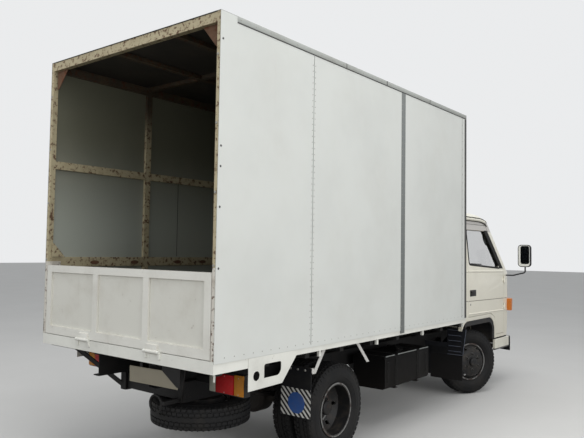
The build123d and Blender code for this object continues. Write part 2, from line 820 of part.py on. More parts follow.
def rear_brackets():
    """Tail plates with braces up to the rear bearer, lamp bars, the spare's carrier and a towing loop."""
    inner = rail_outer_x - rail_flange
    tail = block((inner + 5, rail_outer_x - 5), (rail_rear_ahead - tail_plate, rail_rear_ahead - seat_gap),
                 (rail_bottom, rail_top - 4))
    foot = Vector(brace_foot[0], at(brace_foot[1]), brace_foot[2])
    head = Vector(brace_head[0], at(brace_head[1]), brace_head[2])
    run = Plane(origin=foot, x_dir=(0, 1, 0), z_dir=head - foot)
    brace = extrude(run * Rectangle(brace_size[1], brace_size[0]), amount=(head - foot).length)
    brace &= block((0, 2000), (0, rail_rear_ahead - seat_gap), (rail_bottom, bearer_bottom - seat_gap))
    bar = block((rail_outer_x + seat_gap, lamp_outer_x - 20), (lamp_ahead + lamp_depth + seat_gap,
                                                             lamp_ahead + lamp_depth + 30), (700, 745))
    one_side = [tail + brace, bar]
    pieces = one_side + [mirrored(piece) for piece in one_side]
    loop = Pos(loop_centre[0], at(loop_centre[1]), loop_centre[2]) * Rot(90, 0, 0) * Torus(loop_radius, loop_bar_radius)
    arm = block((-inner - 42, loop_centre[0] - loop_radius + 6), (tow_arm_ahead[0], rail_rear_ahead - seat_gap),
                (rail_bottom + 4, rail_bottom + 30))
    pieces[2] = pieces[2].fuse(arm, loop)
    return pieces + [spare_carrier()]


def rear_lamps():
    """The two lamp units, each one long lens body."""
    body = block((lamp_inner_x, lamp_outer_x), (lamp_ahead, lamp_ahead + lamp_depth), lamp_z)
    body = fillet(body.edges().filter_by(Axis.Y), 8)
    return [body, mirrored(body)]


def skirt_panels():
    """The side plates behind the rear wheels, each with a round hole and a rounded window."""
    x_in = box_width / 2 - skin + seat_gap
    plate = side_plate(skirt_corners, (x_in, x_in + skirt_wall))
    rear, front, low, high = skirt_window
    window = block((x_in - 5, x_in + 15), (rear, front), (low, high))
    lower_front = window.edges().filter_by(Axis.X).sort_by(Axis.Z)[:2].sort_by(Axis.Y)[0]
    window = fillet(lower_front, 48)
    window = fillet(window.edges().filter_by(Axis.X).sort_by(Axis.Z)[-2:], 16)
    hole = x_cylinder(skirt_hole[2], (x_in - 5, x_in + 15), skirt_hole[0], skirt_hole[1])
    plate = plate - window - hole
    return [plate, mirrored(plate)]


def flap_hangers():
    """Flat stays over the rear wheels and the cross bars that the mud flaps hang from."""
    x_in = box_width / 2 - skin - sill_wall + 4
    pieces = []
    for top, low in stay_lines:
        lean = (low[0] - top[0]) / (top[1] - low[1])
        half = stay_width / 2
        corners = [(top[0] - half, top[1] - seat_gap), (top[0] + half, top[1] - seat_gap),
                   (low[0] + half, low[1]), (low[0] - half, low[1])]
        pieces.append(side_plate(corners, (x_in, x_in + stay_wall)))
    bar = block((flap_inner_x, x_in), around(flap_ahead + flap_wall / 2 + 12, 24),
                (flap_z[1] - flap_bar_height, flap_z[1]))
    pieces[0] = pieces[0] + bar
    return pieces + [mirrored(piece) for piece in pieces]


def rear_flaps():
    """The two rear mud flaps."""
    flap = block((flap_inner_x, flap_outer_x - 14), (flap_ahead - flap_wall / 2, flap_ahead + flap_wall / 2 - seat_gap), flap_z)
    return [flap, mirrored(flap)]


def front_guards():
    """Louvred guards behind the front wheels, each with a flap and a bracket to the rail."""
    ahead = (guard_ahead, guard_ahead + guard_wall)
    plate = front_plate([(guard_inner_x, guard_z[0]), (guard_outer_x[0], guard_z[0]), (guard_outer_x[1], guard_z[1]),
                         (guard_inner_x, guard_z[1])], ahead)
    pitch = (guard_z[1] - guard_z[0]) / louvre_count
    for index in range(louvre_count):
        z = guard_z[0] + pitch * (index + 0.5)
        plate += x_cylinder(louvre_radius, (guard_inner_x + 15, guard_outer_x[0] - 15), guard_ahead, z)
    plate += block(guard_flap_x, (guard_ahead + 1, guard_ahead + 1 + guard_wall - 2), guard_flap_z)
    plate += block((rail_outer_x + seat_gap, guard_inner_x + 20), ahead, (rail_bottom + 20, rail_bottom + 70))
    return [plate, mirrored(plate)]


# Box body


def box_bearers():
    """Two long stringers on the rails and the cross bearers under the floor."""
    inner = rail_outer_x - rail_flange
    rear = 60
    front = box_length - 60
    stringer = block((inner, rail_outer_x), (rear, front), (rail_top + seat_gap, bearer_bottom))
    stringer -= block((inner + stringer_wall, rail_outer_x + 1), (rear - 1, front + 1),
                      (rail_top + stringer_wall, bearer_bottom - stringer_wall))
    pieces = [stringer, mirrored(stringer)]
    half = box_width / 2 - skin - sill_wall - seat_gap
    count = 9
    pitch = (front - rear - bearer_width) / (count - 1)
    for index in range(count):
        place = rear + bearer_width / 2 + pitch * index
        pieces.append(block((-half, half), around(place, bearer_width), (bearer_bottom, floor_bottom - seat_gap)))
    return pieces[0].fuse(*pieces[1:])


def box_floor():
    """The load floor between the sills."""
    half = box_width / 2 - skin - sill_wall - seat_gap
    return block((-half, half), (sill_wall + seat_gap, box_length - skin - sill_wall - seat_gap), (floor_bottom, sill_top))


def box_sills():
    """The ring of sills round the floor, with lashing hooks and the tailgate's fixed knuckles."""
    half = box_width / 2 - skin
    ring = block((-half, half), (0, box_length - skin), (sill_bottom, sill_top))
    ring -= block((-half + sill_wall, half - sill_wall), (sill_wall, box_length - skin - sill_wall),
                  (sill_bottom - 1, sill_top + 1))
    step = block((half - sill_wall - 1, half + 1), (rear_sill_ahead, box_length), (sill_bottom - 1, side_sill_bottom))
    ring = ring - step - mirrored(step)
    for place in hook_places:
        hook = block((half - sill_wall, half - 8), around(place, hook_width),
                     (side_sill_bottom - hook_drop, side_sill_bottom))
        ring = ring + hook + mirrored(hook)
    for x in gate_hinge_places:
        for side in (-1, 1):
            knuckle_x = x + side * (gate_hinge_width / 2 - 12)
            ring += x_cylinder(gate_knuckle_radius, around(knuckle_x, 24), -gate_knuckle_radius, hinge_z())
            ring += block(around(knuckle_x, 24), (-gate_knuckle_radius, 0), (hinge_z() - 46, hinge_z()))
        ring += x_cylinder(gate_pin_radius, around(x, gate_hinge_width - 10), -gate_knuckle_radius, hinge_z())
    return ring


def hinge_z():
    """Height of the tailgate's hinge line."""
    return sill_top + moving_gap / 2


def tailgate():
    """A three-panel gate, recessed on its outer face, with its own hinge knuckles."""
    half = box_width / 2 - skin - frame_depth - moving_gap
    low = sill_top + moving_gap
    gate = block((-half, half), (0, gate_thickness), (low, gate_top))
    edges_x = [half - gate_frame, gate_stile_places[0], gate_stile_places[1], -half + gate_frame]
    for index in range(3):
        left = edges_x[index] - (gate_frame / 2 if index else 0)
        right = edges_x[index + 1] + (gate_frame / 2 if index < 2 else 0)
        gate -= block((right, left), (-1, gate_recess), (low + gate_frame, gate_top - gate_frame * 0.85))
    for x in gate_hinge_places:
        width = gate_hinge_width - 2 * 24 - 2 * 3
        gate += x_cylinder(gate_knuckle_radius, around(x, width), -gate_knuckle_radius, hinge_z())
        gate += block(around(x, width), (-gate_knuckle_radius, 0), (hinge_z(), hinge_z() + 48))
        gate -= x_cylinder(gate_pin_radius + running_gap, around(x, gate_hinge_width), -gate_knuckle_radius, hinge_z())
    return gate


def box_frame():
    """The welded tube frame of the box: posts, rails, rear header and roof bows."""
    half = box_width / 2 - skin
    x = (half - frame_depth, half)
    top = box_top - skin
    front = box_length - skin
    side = [block(x, (0, post_width), (sill_top + seat_gap, top)),
            block(x, (front - post_width, front), (sill_top + seat_gap, top))]
    side += [block(x, around(place, middle_post_width), (sill_top + seat_gap, top)) for place in middle_post_places]
    for z in (lashing_rail, middle_rail, (top - header_height, top), (sill_top + seat_gap, sill_top + 40)):
        side.append(block(x, (post_width - 1, front - post_width + 1), z))
    pieces = side + [mirrored(piece) for piece in side]
    inner = (-half + frame_depth - 1, half - frame_depth + 1)
    pieces.append(block(inner, (0, post_width), (top - header_height, top)))
    pieces.append(block(inner, (front - post_width, front), (top - header_height, top)))
    pieces.append(block(inner, (front - frame_depth, front), middle_rail))
    for place in middle_post_places:
        pieces.append(block(inner, around(place, bow_width), (top - bow_height, top)))
    for bow_x in (250, -430):
        pieces.append(block(around(bow_x, bow_width), (post_width - 1, front - post_width + 1), (top - bow_height, top)))
    return pieces[0].fuse(*pieces[1:])


def side_wall():
    """The left side skin."""
    half = box_width / 2
    return block((half - skin, half), (0, box_length), (skin_bottom, box_top - skin))


def front_wall():
    """The box's front skin, between the side skins."""
    half = box_width / 2 - skin
    return block((-half, half), (box_length - skin, box_length), (skin_bottom, box_top - skin))


def box_roof():
    """The roof skin."""
    half = box_width / 2
    return block((-half, half), (0, box_length), (box_top - skin, box_top))


# Cab


def cab_outline(z, half, side_end, corner, nose, inset, rear_inset):
    """A plan outline at one height: flat rear and sides, round corners and a bowed nose."""
    w = half - inset
    rear = at(cab_rear_ahead + rear_inset)
    side_y = at(side_end - inset * 0.6)
    corner_y = at(corner - inset)
    corner_x = half - cab_corner - inset * 0.6
    nose_y = at(nose - inset)
    bulge = 0.2929
    mid_x = w - (w - corner_x) * bulge
    mid_y = corner_y + (side_y - corner_y) * bulge
    edges = [
        Line((-w, rear, z), (w, rear, z)),
        Line((w, rear, z), (w, side_y, z)),
        ThreePointArc((w, side_y, z), (mid_x, mid_y, z), (corner_x, corner_y, z)),
        ThreePointArc((corner_x, corner_y, z), (0, nose_y, z), (-corner_x, corner_y, z)),
        ThreePointArc((-corner_x, corner_y, z), (-mid_x, mid_y, z), (-w, side_y, z)),
        Line((-w, side_y, z), (-w, rear, z)),
    ]
    return make_face(Wire(edges))


def cab_body(inset, low=None, high=None, rear_inset=None):
    """The cab's outer body, or the same body with every face moved inwards by the inset."""
    rear_inset = inset if rear_inset is None else rear_inset
    faces = [cab_outline(*section, inset, rear_inset) for section in cab_sections]
    body = loft(faces, ruled=True)
    low = cab_sections[0][0] if low is None else low
    high = cab_sections[-1][0] if high is None else high
    window = block((-2000, 2000), (cab_rear_ahead - 500, bumper_reach + 500), (low, high))
    return body & window


def roof_body(inset, drop):
    """The roof as rings that close towards the crown."""
    base = cab_sections[-1]
    faces = []
    for z, side_inset, end_inset in roof_sections:
        faces.append(cab_outline(z - drop, base[1] - side_inset, base[2] - end_inset, base[3] - end_inset,
                                 base[4] - end_inset, inset, inset + end_inset * roof_rear_inset_share))
    return loft(faces, ruled=True)


def cab_roof():
    """The roof panel with its drip rails."""
    roof = roof_body(0, 0) - roof_body(cab_wall * 0.8, 26)
    base = cab_sections[-1]
    rail_bar = block((base[1] - 8, base[1] + drip_rail_size - 4), (cab_rear_ahead + 40, base[2] - 40),
                     around(drip_rail_z, drip_rail_size))
    return roof + rail_bar + mirrored(rail_bar)


def door_outline(gap):
    """The door's side outline, made smaller all round by a gap, as (ahead, height) corners."""
    lean = gap * 0.7
    return [(door_rear_ahead + gap, door_arch_z + gap), (door_rear_ahead + gap, door_top - gap),
            (door_pillar[1][0] - lean, door_top - gap), (door_pillar[0][0] - gap, door_pillar[0][1] - lean),
            (door_front_ahead - gap, door_bottom + gap), (door_arch_front_ahead + gap, door_bottom + gap),
            (door_arch_front_ahead + gap, 760), (door_arch_front_ahead - 50 + gap, 868 + lean),
            (door_arch_front_ahead - 170 + gap, door_arch_z + gap)]


def door_prism(gap, side):
    """The door's outline as a solid through one side wall."""
    x = (cab_sections[-1][1] - 90, cab_sections[1][1] + 60)
    prism = side_plate(door_outline(gap), x)
    return prism if side > 0 else mirrored(prism)


def window_prism(grow, side):
    """The door window's outline as a solid through one side wall."""
    corners = [(window_sill_rear[0] - grow, window_sill_rear[1] - grow), (window_top_rear[0] - grow, window_top_rear[1] + grow),
               (window_top_front[0] + grow * 0.6, window_top_front[1] + grow),
               (window_sill_front[0] + grow * 1.6, window_sill_front[1] - grow)]
    prism = side_plate(corners, (cab_sections[-1][1] - 120, cab_sections[1][1] + 60))
    prism = fillet(prism.edges().filter_by(Axis.X), 26)
    return prism if side > 0 else mirrored(prism)


def windscreen_prism(grow):
    """The windscreen's outline as a solid through the front."""
    low, high = windscreen_half_widths
    corners = [(-low - grow, windscreen_bottom - grow), (low + grow, windscreen_bottom - grow),
               (high + grow, windscreen_top + grow), (-high - grow, windscreen_top + grow)]
    prism = front_plate(corners, (cab_sections[-1][2] - 60, bumper_reach))
    return fillet(prism.edges().filter_by(Axis.Y), 45)


def rear_window_block(grow):
    """The rear window's outline as a solid through the rear wall."""
    body = block((-rear_window_half_width - grow, rear_window_half_width + grow), (cab_rear_ahead - 50, cab_rear_ahead + 90),
                 (rear_window_z[0] - grow, rear_window_z[1] + grow))
    return fillet(body.edges().filter_by(Axis.Y), 30)


def arch_cutter(grow, x):
    """The wheel arch's outline as a solid between two X values."""
    front = arch_front_ahead - grow
    rear = arch_rear_ahead + grow
    body = block(x, (rear, front), (arch_top - grow - 700, arch_top - grow))
    top_edges = body.edges().filter_by(Axis.X).group_by(Axis.Z)[-1]
    return fillet(top_edges, arch_radius - grow)


def cab_shell():
    """Floor, skirts, pillars, nose and rear wall, with every opening cut."""
    outer = cab_body(0)
    wall = cab_wall
    room = cab_body(wall, high_floor + floor_wall, cab_sections[-1][0])
    foot_room = cab_body(wall, footwell_floor + floor_wall, high_floor + floor_wall + 1)
    foot_room &= block((-2000, 2000), (footwell_rear_ahead + floor_wall, bumper_reach), (0, 2000))
    under_rear = cab_body(wall, cab_sections[0][0] - 1, high_floor)
    under_rear &= block((-2000, 2000), (0, footwell_rear_ahead), (0, 2000))
    under_front = cab_body(wall, cab_sections[0][0] - 1, footwell_floor, rear_inset=wall)
    nose_room = cab_body(nose_wall, cab_sections[0][0] - 1, footwell_floor)
    nose_room &= block((-700, 700), (nose_room_ahead, bumper_reach), (0, 2000))
    shell = outer - room - foot_room - under_rear - under_front - nose_room
    shell -= block((-2000, 2000), (cab_rear_ahead - 10, arch_rear_ahead + 20), (0, high_floor))
    shell -= arch_cutter(0, (-1000, 1000)) & block((-2000, 2000), (0, footwell_rear_ahead - 1), (0, high_floor))
    shell -= arch_cutter(0, (cab_sections[0][1] - cab_wall - 5, 1000))
    shell -= mirrored(arch_cutter(0, (cab_sections[0][1] - cab_wall - 5, 1000)))
    hump = block((-hump_half_width, hump_half_width), hump_ahead, (high_floor, hump_top))
    shell += hump
    shell -= block((-hump_half_width + hump_wall, hump_half_width - hump_wall),
                   (hump_ahead[0] + hump_wall, hump_ahead[1] - hump_wall), (high_floor - 50, hump_top - hump_wall))
    for side in (-1, 1):
        shell -= door_prism(0, side)
    shell -= windscreen_prism(0)
    shell -= rear_window_block(0)
    shell -= block((-grille_half_width, grille_half_width), (nose_room_ahead + 20, bumper_reach), grille_z)
    shell -= block((-2000, 2000), (nose_bottom_ahead, bumper_reach), (0, nose_bottom))
    for side in (-1, 1):
        lamp_x = (side * lamp_block[0], side * lamp_block[1])
        shell -= block(lamp_x, (nose_room_ahead, bumper_reach), grille_z)
        shell -= turn_lamp(side, seat_gap)
        for z in door_hinge_heights:
            shell -= knuckle_pocket(side, z, door_knuckle_height)
        shell += hinge_leaves(side)
        shell += tilt_arm(side)
    return shell


def knuckle_pocket(side, z, height):
    """The room that a hinge knuckle turns in."""
    x, y = hinge_axis(side)
    return z_cylinder(door_knuckle_radius + moving_gap, x, y, around(z, height + 2 * 3))


def front_band(outer_inset, inner_inset, x, z):
    """A piece of the nose between two insets, two X values and two heights."""
    region = block(x, (nose_room_ahead - 30, bumper_reach + 100), z)
    return (cab_body(outer_inset) - cab_body(inner_inset)) & region


def turn_lamp(side, grow):
    """The amber lamp that wraps one front corner of the cab."""
    x = (turn_lamp_x - grow, 1000)
    z = (turn_lamp_z[0] - grow, turn_lamp_z[1] + grow)
    region = block(x, (turn_lamp_ahead - grow, bumper_reach + 100), z)
    body = (cab_body(-turn_lamp_proud) - cab_body(12 + grow)) & region
    return body if side > 0 else mirrored(body)


def hinge_axis(side):
    """X and Y of a door's hinge line."""
    return (side * (cab_sections[1][1] + door_hinge_out), at(door_front_ahead - door_gap / 2))


def hinge_leaves(side):
    """The fixed halves of one door's two hinges: leaf, two knuckles and pin."""
    x, y = hinge_axis(side)
    pieces = []
    for z in door_hinge_heights:
        for end in (-1, 1):
            centre = z + end * (door_knuckle_height / 2 + 13)
            pieces.append(z_cylinder(door_knuckle_radius, x, y, around(centre, 20)))
            pieces.append(Pos(x - side * 6, y - door_leaf_length / 2, centre) * Box(12, door_leaf_length, 20))
        pieces.append(z_cylinder(door_pin_radius, x, y, around(z, door_knuckle_height + 40)))
    return pieces[0].fuse(*pieces[1:])


def door_knuckles(side):
    """The moving halves of one door's two hinges."""
    x, y = hinge_axis(side)
    pieces = []
    for z in door_hinge_heights:
        pieces.append(z_cylinder(door_knuckle_radius, x, y, around(z, door_knuckle_height)))
        pieces.append(Pos(x - side * 6, y + door_leaf_length / 2, z) * Box(12, door_leaf_length, door_knuckle_height))
    body = pieces[0].fuse(*pieces[1:])
    for z in door_hinge_heights:
        body -= z_cylinder(door_pin_radius + running_gap, x, y, around(z, door_knuckle_height + 60))
    return body


def door(side):
    """One door: the side wall inside the door's outline, with its window cut."""
    wall = cab_body(0) - cab_body(cab_wall)
    body = wall & door_prism(door_gap, side)
    body -= window_prism(0, side)
    for z in door_hinge_heights:
        for end in (-1, 1):
            body -= knuckle_pocket(side, z + end * (door_knuckle_height / 2 + 13), 20)
    return body + door_knuckles(side)


def door_glass(side):
    """The pane of one door."""
    layer = cab_body(glass_inset) - cab_body(glass_inset + glass_wall)
    return layer & window_prism(-seat_gap, side)


def cab_glass():
    """The windscreen and the rear window."""
    layer = cab_body(glass_inset) - cab_body(glass_inset + glass_wall)
    return [layer & windscreen_prism(-seat_gap), layer & rear_window_block(-seat_gap)]


def arch_liners():
    """The dark bands and inner roofs of the front wheel arches."""
    outer_x = cab_sections[0][1] - 4
    band = arch_cutter(seat_gap, (outer_x - arch_band_depth, outer_x)) - arch_cutter(arch_band, (0, 2000))
    roof = arch_cutter(seat_gap + high_floor_drop(), (liner_inner_x, outer_x - arch_band_depth + 1))
    roof -= arch_cutter(seat_gap + high_floor_drop() + liner_wall, (0, 2000))
    body = (band + roof) & block((0, 2000), (liner_rear_ahead, arch_front_ahead), (bumper_z[1] + 15, 2000))
    return [body, mirrored(body)]


def high_floor_drop():
    """How far the liner's roof lies under the arch's top, to clear the cab floor."""
    return arch_top - high_floor


def tilt_arm(side):
    """One of the cab's two tilt arms, leaning back from its eye to the floor."""
    x = (tilt_arm_inner_x, tilt_arm_inner_x + tilt_arm_wall)
    eye = x_cylinder(tilt_eye_radius, x, tilt_ahead, tilt_z)
    arm = side_plate([(tilt_ahead + tilt_eye_radius - 4, tilt_z + 8), (tilt_ahead - tilt_eye_radius, tilt_z - 6),
                      (tilt_arm_top_ahead - 40, footwell_floor + 2), (tilt_arm_top_ahead + 40, footwell_floor + 2)], x)
    body = eye + arm - x_cylinder(tilt_pin_radius + running_gap, (0, 900), tilt_ahead, tilt_z)
    return body if side > 0 else mirrored(body)


def grille():
    """The black grille between the headlamps, with open slots."""
    gap = seat_gap
    x = (-grille_half_width + gap, grille_half_width - gap)
    body = front_band(6, 30, x, (grille_z[0] + gap, grille_z[1] - gap))
    pitch = (grille_z[1] - grille_z[0]) / grille_slots
    for index in range(grille_slots):
        z = grille_z[0] + pitch * (index + 0.5)
        for side in (-1, 1):
            body -= block((side * 14, side * (grille_half_width - 24)), (nose_room_ahead - 80, bumper_reach + 100),
                          around(z, grille_slot_height))
    return body


def front_lamps():
    """Two headlamps and two corner lamps."""
    gap = seat_gap
    x = (lamp_block[0] + gap, lamp_block[1] - gap)
    head = front_band(4, 38, x, (grille_z[0] + gap, grille_z[1] - gap))
    return [head, mirrored(head), turn_lamp(1, 0), turn_lamp(-1, 0)]


def dashboard():
    """The dashboard, which follows the inside of the nose."""
    half = cab_sections[-1][1] - cab_wall + 35
    body = cab_body(cab_wall + seat_gap, dash_z[0], dash_z[1])
    body &= block((-half, half), (dash_ahead, bumper_reach), dash_z)
    front_top = block((-half, half), (dash_ahead - 1, dash_ahead + 90), (dash_z[1] - 60, dash_z[1] + 1))
    return body - front_top


def steering_wheel():
    """The steering wheel and its column, on the right."""
    x, ahead, z = wheel_centre
    place = Pos(x, at(ahead), z) * Rot(wheel_tilt, 0, 0)
    rim_ring = place * Torus(wheel_rim_radius, wheel_rim_tube)
    hub = place * Cylinder(52, 40)
    spokes = place * Box(2 * wheel_rim_radius - 10, 30, 12)
    dash_y = at(dash_ahead + 90) + seat_gap
    axis = Vector(0, -sin(radians(wheel_tilt)), -cos(radians(wheel_tilt)))
    origin = Vector(x, at(ahead), z)
    column = Solid.make_cylinder(column_radius, 420, Plane(origin=origin, z_dir=axis))
    keep = block((x - 300, x + 300), (0, dash_ahead - seat_gap), (hump_top - 200, 2000))
    return (rim_ring + hub + spokes + column) & keep


def seat(x):
    """One seat as a plain cushion and backrest on a base."""
    base_low = high_floor + floor_wall + seat_gap
    inner = (x[0] + 20, x[1] - 20)
    if x[0] < -hump_half_width:
        base = block(inner, (seat_ahead[0] + 60, seat_ahead[1] - 60), (base_low, seat_base_z[0]))
    else:
        base = block((hump_half_width + 20, x[1] - 20), (seat_ahead[0] + 60, seat_ahead[1] - 60),
                     (base_low, seat_base_z[0]))
    cushion = block(x, seat_ahead, (seat_base_z[0], seat_base_z[1]))
    back = block(x, (seat_ahead[0] - seat_back_depth + 20, seat_ahead[0] + 20), (seat_base_z[0] + 10, seat_back_top))
    return base + cushion + back


def mirror_unit():
    """The left mirror: foot on the cab corner, bent tube and head."""
    x, ahead, z = mirror_centre
    foot_x, foot_ahead, foot_z = mirror_foot
    route = FilletPolyline((foot_x, at(foot_ahead), foot_z), (foot_x + 90, at(foot_ahead + 30), foot_z),
                           (x, at(ahead + 10), foot_z + 40), (x, at(ahead + 10), z + 60), radius=28)
    tube = sweep(Plane(origin=route @ 0, z_dir=route % 0) * Circle(mirror_tube_radius), path=route)
    head = block(around(x, mirror_head[0]), around(ahead, mirror_head[1]), around(z, mirror_head[2]))
    head = fillet(head.edges().filter_by(Axis.Y), 44)
    head = chamfer(head.faces().sort_by(Axis.Y)[0].edges(), 16)
    return (head + tube) - cab_body(-seat_gap)


def bumper_core(inset):
    """The bumper's outline as a solid, moved inwards by the inset."""
    z = bumper_z[0] - inset
    half = bumper_half_width - inset
    rear = at(bumper_rear_ahead)
    corner = (half - 120, at(bumper_corner_ahead + 110 - inset))
    nose = at(bumper_reach - inset)
    side_y = at(bumper_corner_ahead - 40)
    mid = (half - 120 * 0.25, (side_y * 0.45 + corner[1] * 0.55))
    edges = [
        Line((-half, rear, z), (half, rear, z)),
        Line((half, rear, z), (half, side_y, z)),
        ThreePointArc((half, side_y, z), (mid[0], mid[1], z), (corner[0], corner[1], z)),
        ThreePointArc((corner[0], corner[1], z), (0, nose, z), (-corner[0], corner[1], z)),
        ThreePointArc((-corner[0], corner[1], z), (-mid[0], mid[1], z), (-half, side_y, z)),
        Line((-half, side_y, z), (-half, rear, z)),
    ]
    height = bumper_z[1] - bumper_z[0] + 2 * inset
    return extrude(make_face(Wire(edges)), amount=height, dir=(0, 0, 1))


def bumper():
    """The front bumper: a bowed face with wrapped ends."""
    return bumper_core(0) - bumper_core(bumper_wall)


def build():
    """Make every node and write it to its own file."""
    os.makedirs("parts", exist_ok=True)
    save("frame_rail_left", frame_rail(1))
    save("frame_rail_right", frame_rail(-1))
    save("cross_members", *cross_members())
    save("front_axle", front_axle())
    save("leaf_springs", *leaf_springs())
    save("rear_axle", rear_axle())
    save("engine_block", engine())
    save("gearbox", gearbox())
    save("propeller_shaft", propeller_shaft())
    save("exhaust", exhaust())
    save("fuel_tank", fuel_tank())
    save("battery_box", battery_box())
    save("spare_wheel", spare_wheel())
    save("rear_brackets", *rear_brackets())
    save("rear_lamps", *rear_lamps())
    save("skirt_panels", *skirt_panels())
    save("flap_hangers", *flap_hangers())
    save("rear_flaps", *rear_flaps())
    save("front_guards", *front_guards())
    save("box_bearers", box_bearers())
    save("box_floor", box_floor())
    save("box_sills", box_sills())
    save("box_frame", box_frame())
    save("box_wall_left", side_wall())
    save("box_wall_right", mirrored(side_wall()))
    save("box_front_wall", front_wall())
    save("box_roof", box_roof())
    save("tailgate", tailgate())
    save("bumper", bumper())
    save("cab_shell", cab_shell())
    save("cab_roof", cab_roof())
    save("cab_glass", *cab_glass())
    save("arch_liners", *arch_liners())
    save("grille", grille())
    save("front_lamps", *front_lamps())
    save("dashboard", dashboard())
    save("steering_wheel", steering_wheel())
    save("seats", seat(seat_driver), seat(seat_passenger))
    save("mirrors", mirror_unit(), mirrored(mirror_unit()))
    save("tie_rod", tie_rod())
    for side, word in ((1, "left"), (-1, "right")):
        save(f"door_{word}", door(side))
        save(f"door_glass_{word}", door_glass(side))
        save(f"knuckle_{word}", knuckle(side))
        save(f"front_tyre_{word}", front_wheel(side, tyre()))
        save(f"front_rim_{word}", front_wheel(side, rim() + front_hub()))
        save(f"rear_tyres_{word}", *[rear_wheel(side, piece) for piece in twin_tyres()])
        save(f"rear_rims_{word}", rear_wheel(side, twin_rims()))


build()
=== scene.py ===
"""Looks of a light cab-over box truck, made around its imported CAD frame.

X is the vehicle's left, the vehicle faces -Y, Z is up and the tyres stand on Z = 0. Sizes are in metres.
An _ANGLE is the number of degrees under which edges are shaded round, or over which they are bevelled.
"""

from __future__ import annotations

import json
import logging
import math
from dataclasses import dataclass, field
from typing import Any, Callable, Sequence

import bmesh
import bpy
import numpy as np
from mathutils import Matrix

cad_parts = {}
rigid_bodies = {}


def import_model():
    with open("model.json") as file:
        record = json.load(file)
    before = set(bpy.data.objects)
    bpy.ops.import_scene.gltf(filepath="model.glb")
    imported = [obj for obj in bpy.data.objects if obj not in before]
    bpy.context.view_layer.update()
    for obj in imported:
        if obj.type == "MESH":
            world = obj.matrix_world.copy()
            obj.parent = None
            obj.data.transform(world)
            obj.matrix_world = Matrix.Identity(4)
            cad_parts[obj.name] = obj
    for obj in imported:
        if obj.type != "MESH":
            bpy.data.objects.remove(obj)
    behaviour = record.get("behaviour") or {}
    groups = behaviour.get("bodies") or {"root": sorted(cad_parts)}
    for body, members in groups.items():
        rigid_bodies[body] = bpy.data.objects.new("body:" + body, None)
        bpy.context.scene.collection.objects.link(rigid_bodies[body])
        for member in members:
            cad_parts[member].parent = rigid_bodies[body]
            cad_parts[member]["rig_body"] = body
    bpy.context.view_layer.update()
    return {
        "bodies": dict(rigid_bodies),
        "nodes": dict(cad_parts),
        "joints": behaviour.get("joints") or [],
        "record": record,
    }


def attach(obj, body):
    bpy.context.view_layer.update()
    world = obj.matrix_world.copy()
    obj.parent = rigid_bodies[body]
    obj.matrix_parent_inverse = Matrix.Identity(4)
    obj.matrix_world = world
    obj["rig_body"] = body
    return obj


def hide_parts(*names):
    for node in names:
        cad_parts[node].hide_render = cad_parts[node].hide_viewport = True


LOG = logging.getLogger("truck")
Array = np.ndarray
Colour = tuple[float, float, float, float]
Point = tuple[float, float, float]
BOX_REAR = 2.818
BOX_FRONT = -0.992
HALF_WIDTH = 0.988
ROOF_TOP = 3.185
SKIN_DEPTH = 0.0025
WALL_FOOT = 0.968
RIVETS_FROM, RIVETS_TO = 0.99, 3.09
RAIL_FOOT, RAIL_TOP = 3.138, 3.182
RAIL_REAR = 2.668
TYRE_RADIUS = 0.3775
FRONT_AXLE_Y, REAR_AXLE_Y = -1.719, 1.306
KINGPIN_X, KINGPIN_REACH = 0.628, 0.070
PARKED_TURN = -26.4
TWIN_OUTER_X, TWIN_INNER_X = 0.7935, 0.5785
PLAIN_ANGLE, EASED_ANGLE, WHEEL_ANGLE = 35.0, 32.0, 38.0
STRIP_ANGLE, BEAD_ANGLE, CUSHION_ANGLE = 50.0, 60.0, 80.0
BEVEL_ANGLE = 40.0
SIDES = (-1.0, 1.0)
NAMED_SIDES = ((1.0, "left"), (-1.0, "right"))
FACING_REAR = np.array([[1.0, 0, 0], [0, 0, -1], [0, 1, 0]])


def at(ahead: float) -> float:
    """Y of a place that lies this far ahead of the box's rear face."""
    return BOX_REAR - ahead


def tint(red: int, green: int, blue: int) -> Colour:
    """A linear colour from display values of 0 to 255.

    Args:
        red: Display red.
        green: Display green.
        blue: Display blue.

    Returns:
        Linear red, green and blue, and an alpha of 1.
    """
    linear = [((c / 255 + 0.055) / 1.055) ** 2.4 if c > 10 else c / 255 / 12.92 for c in (red, green, blue)]
    return (linear[0], linear[1], linear[2], 1.0)


# Surfaces


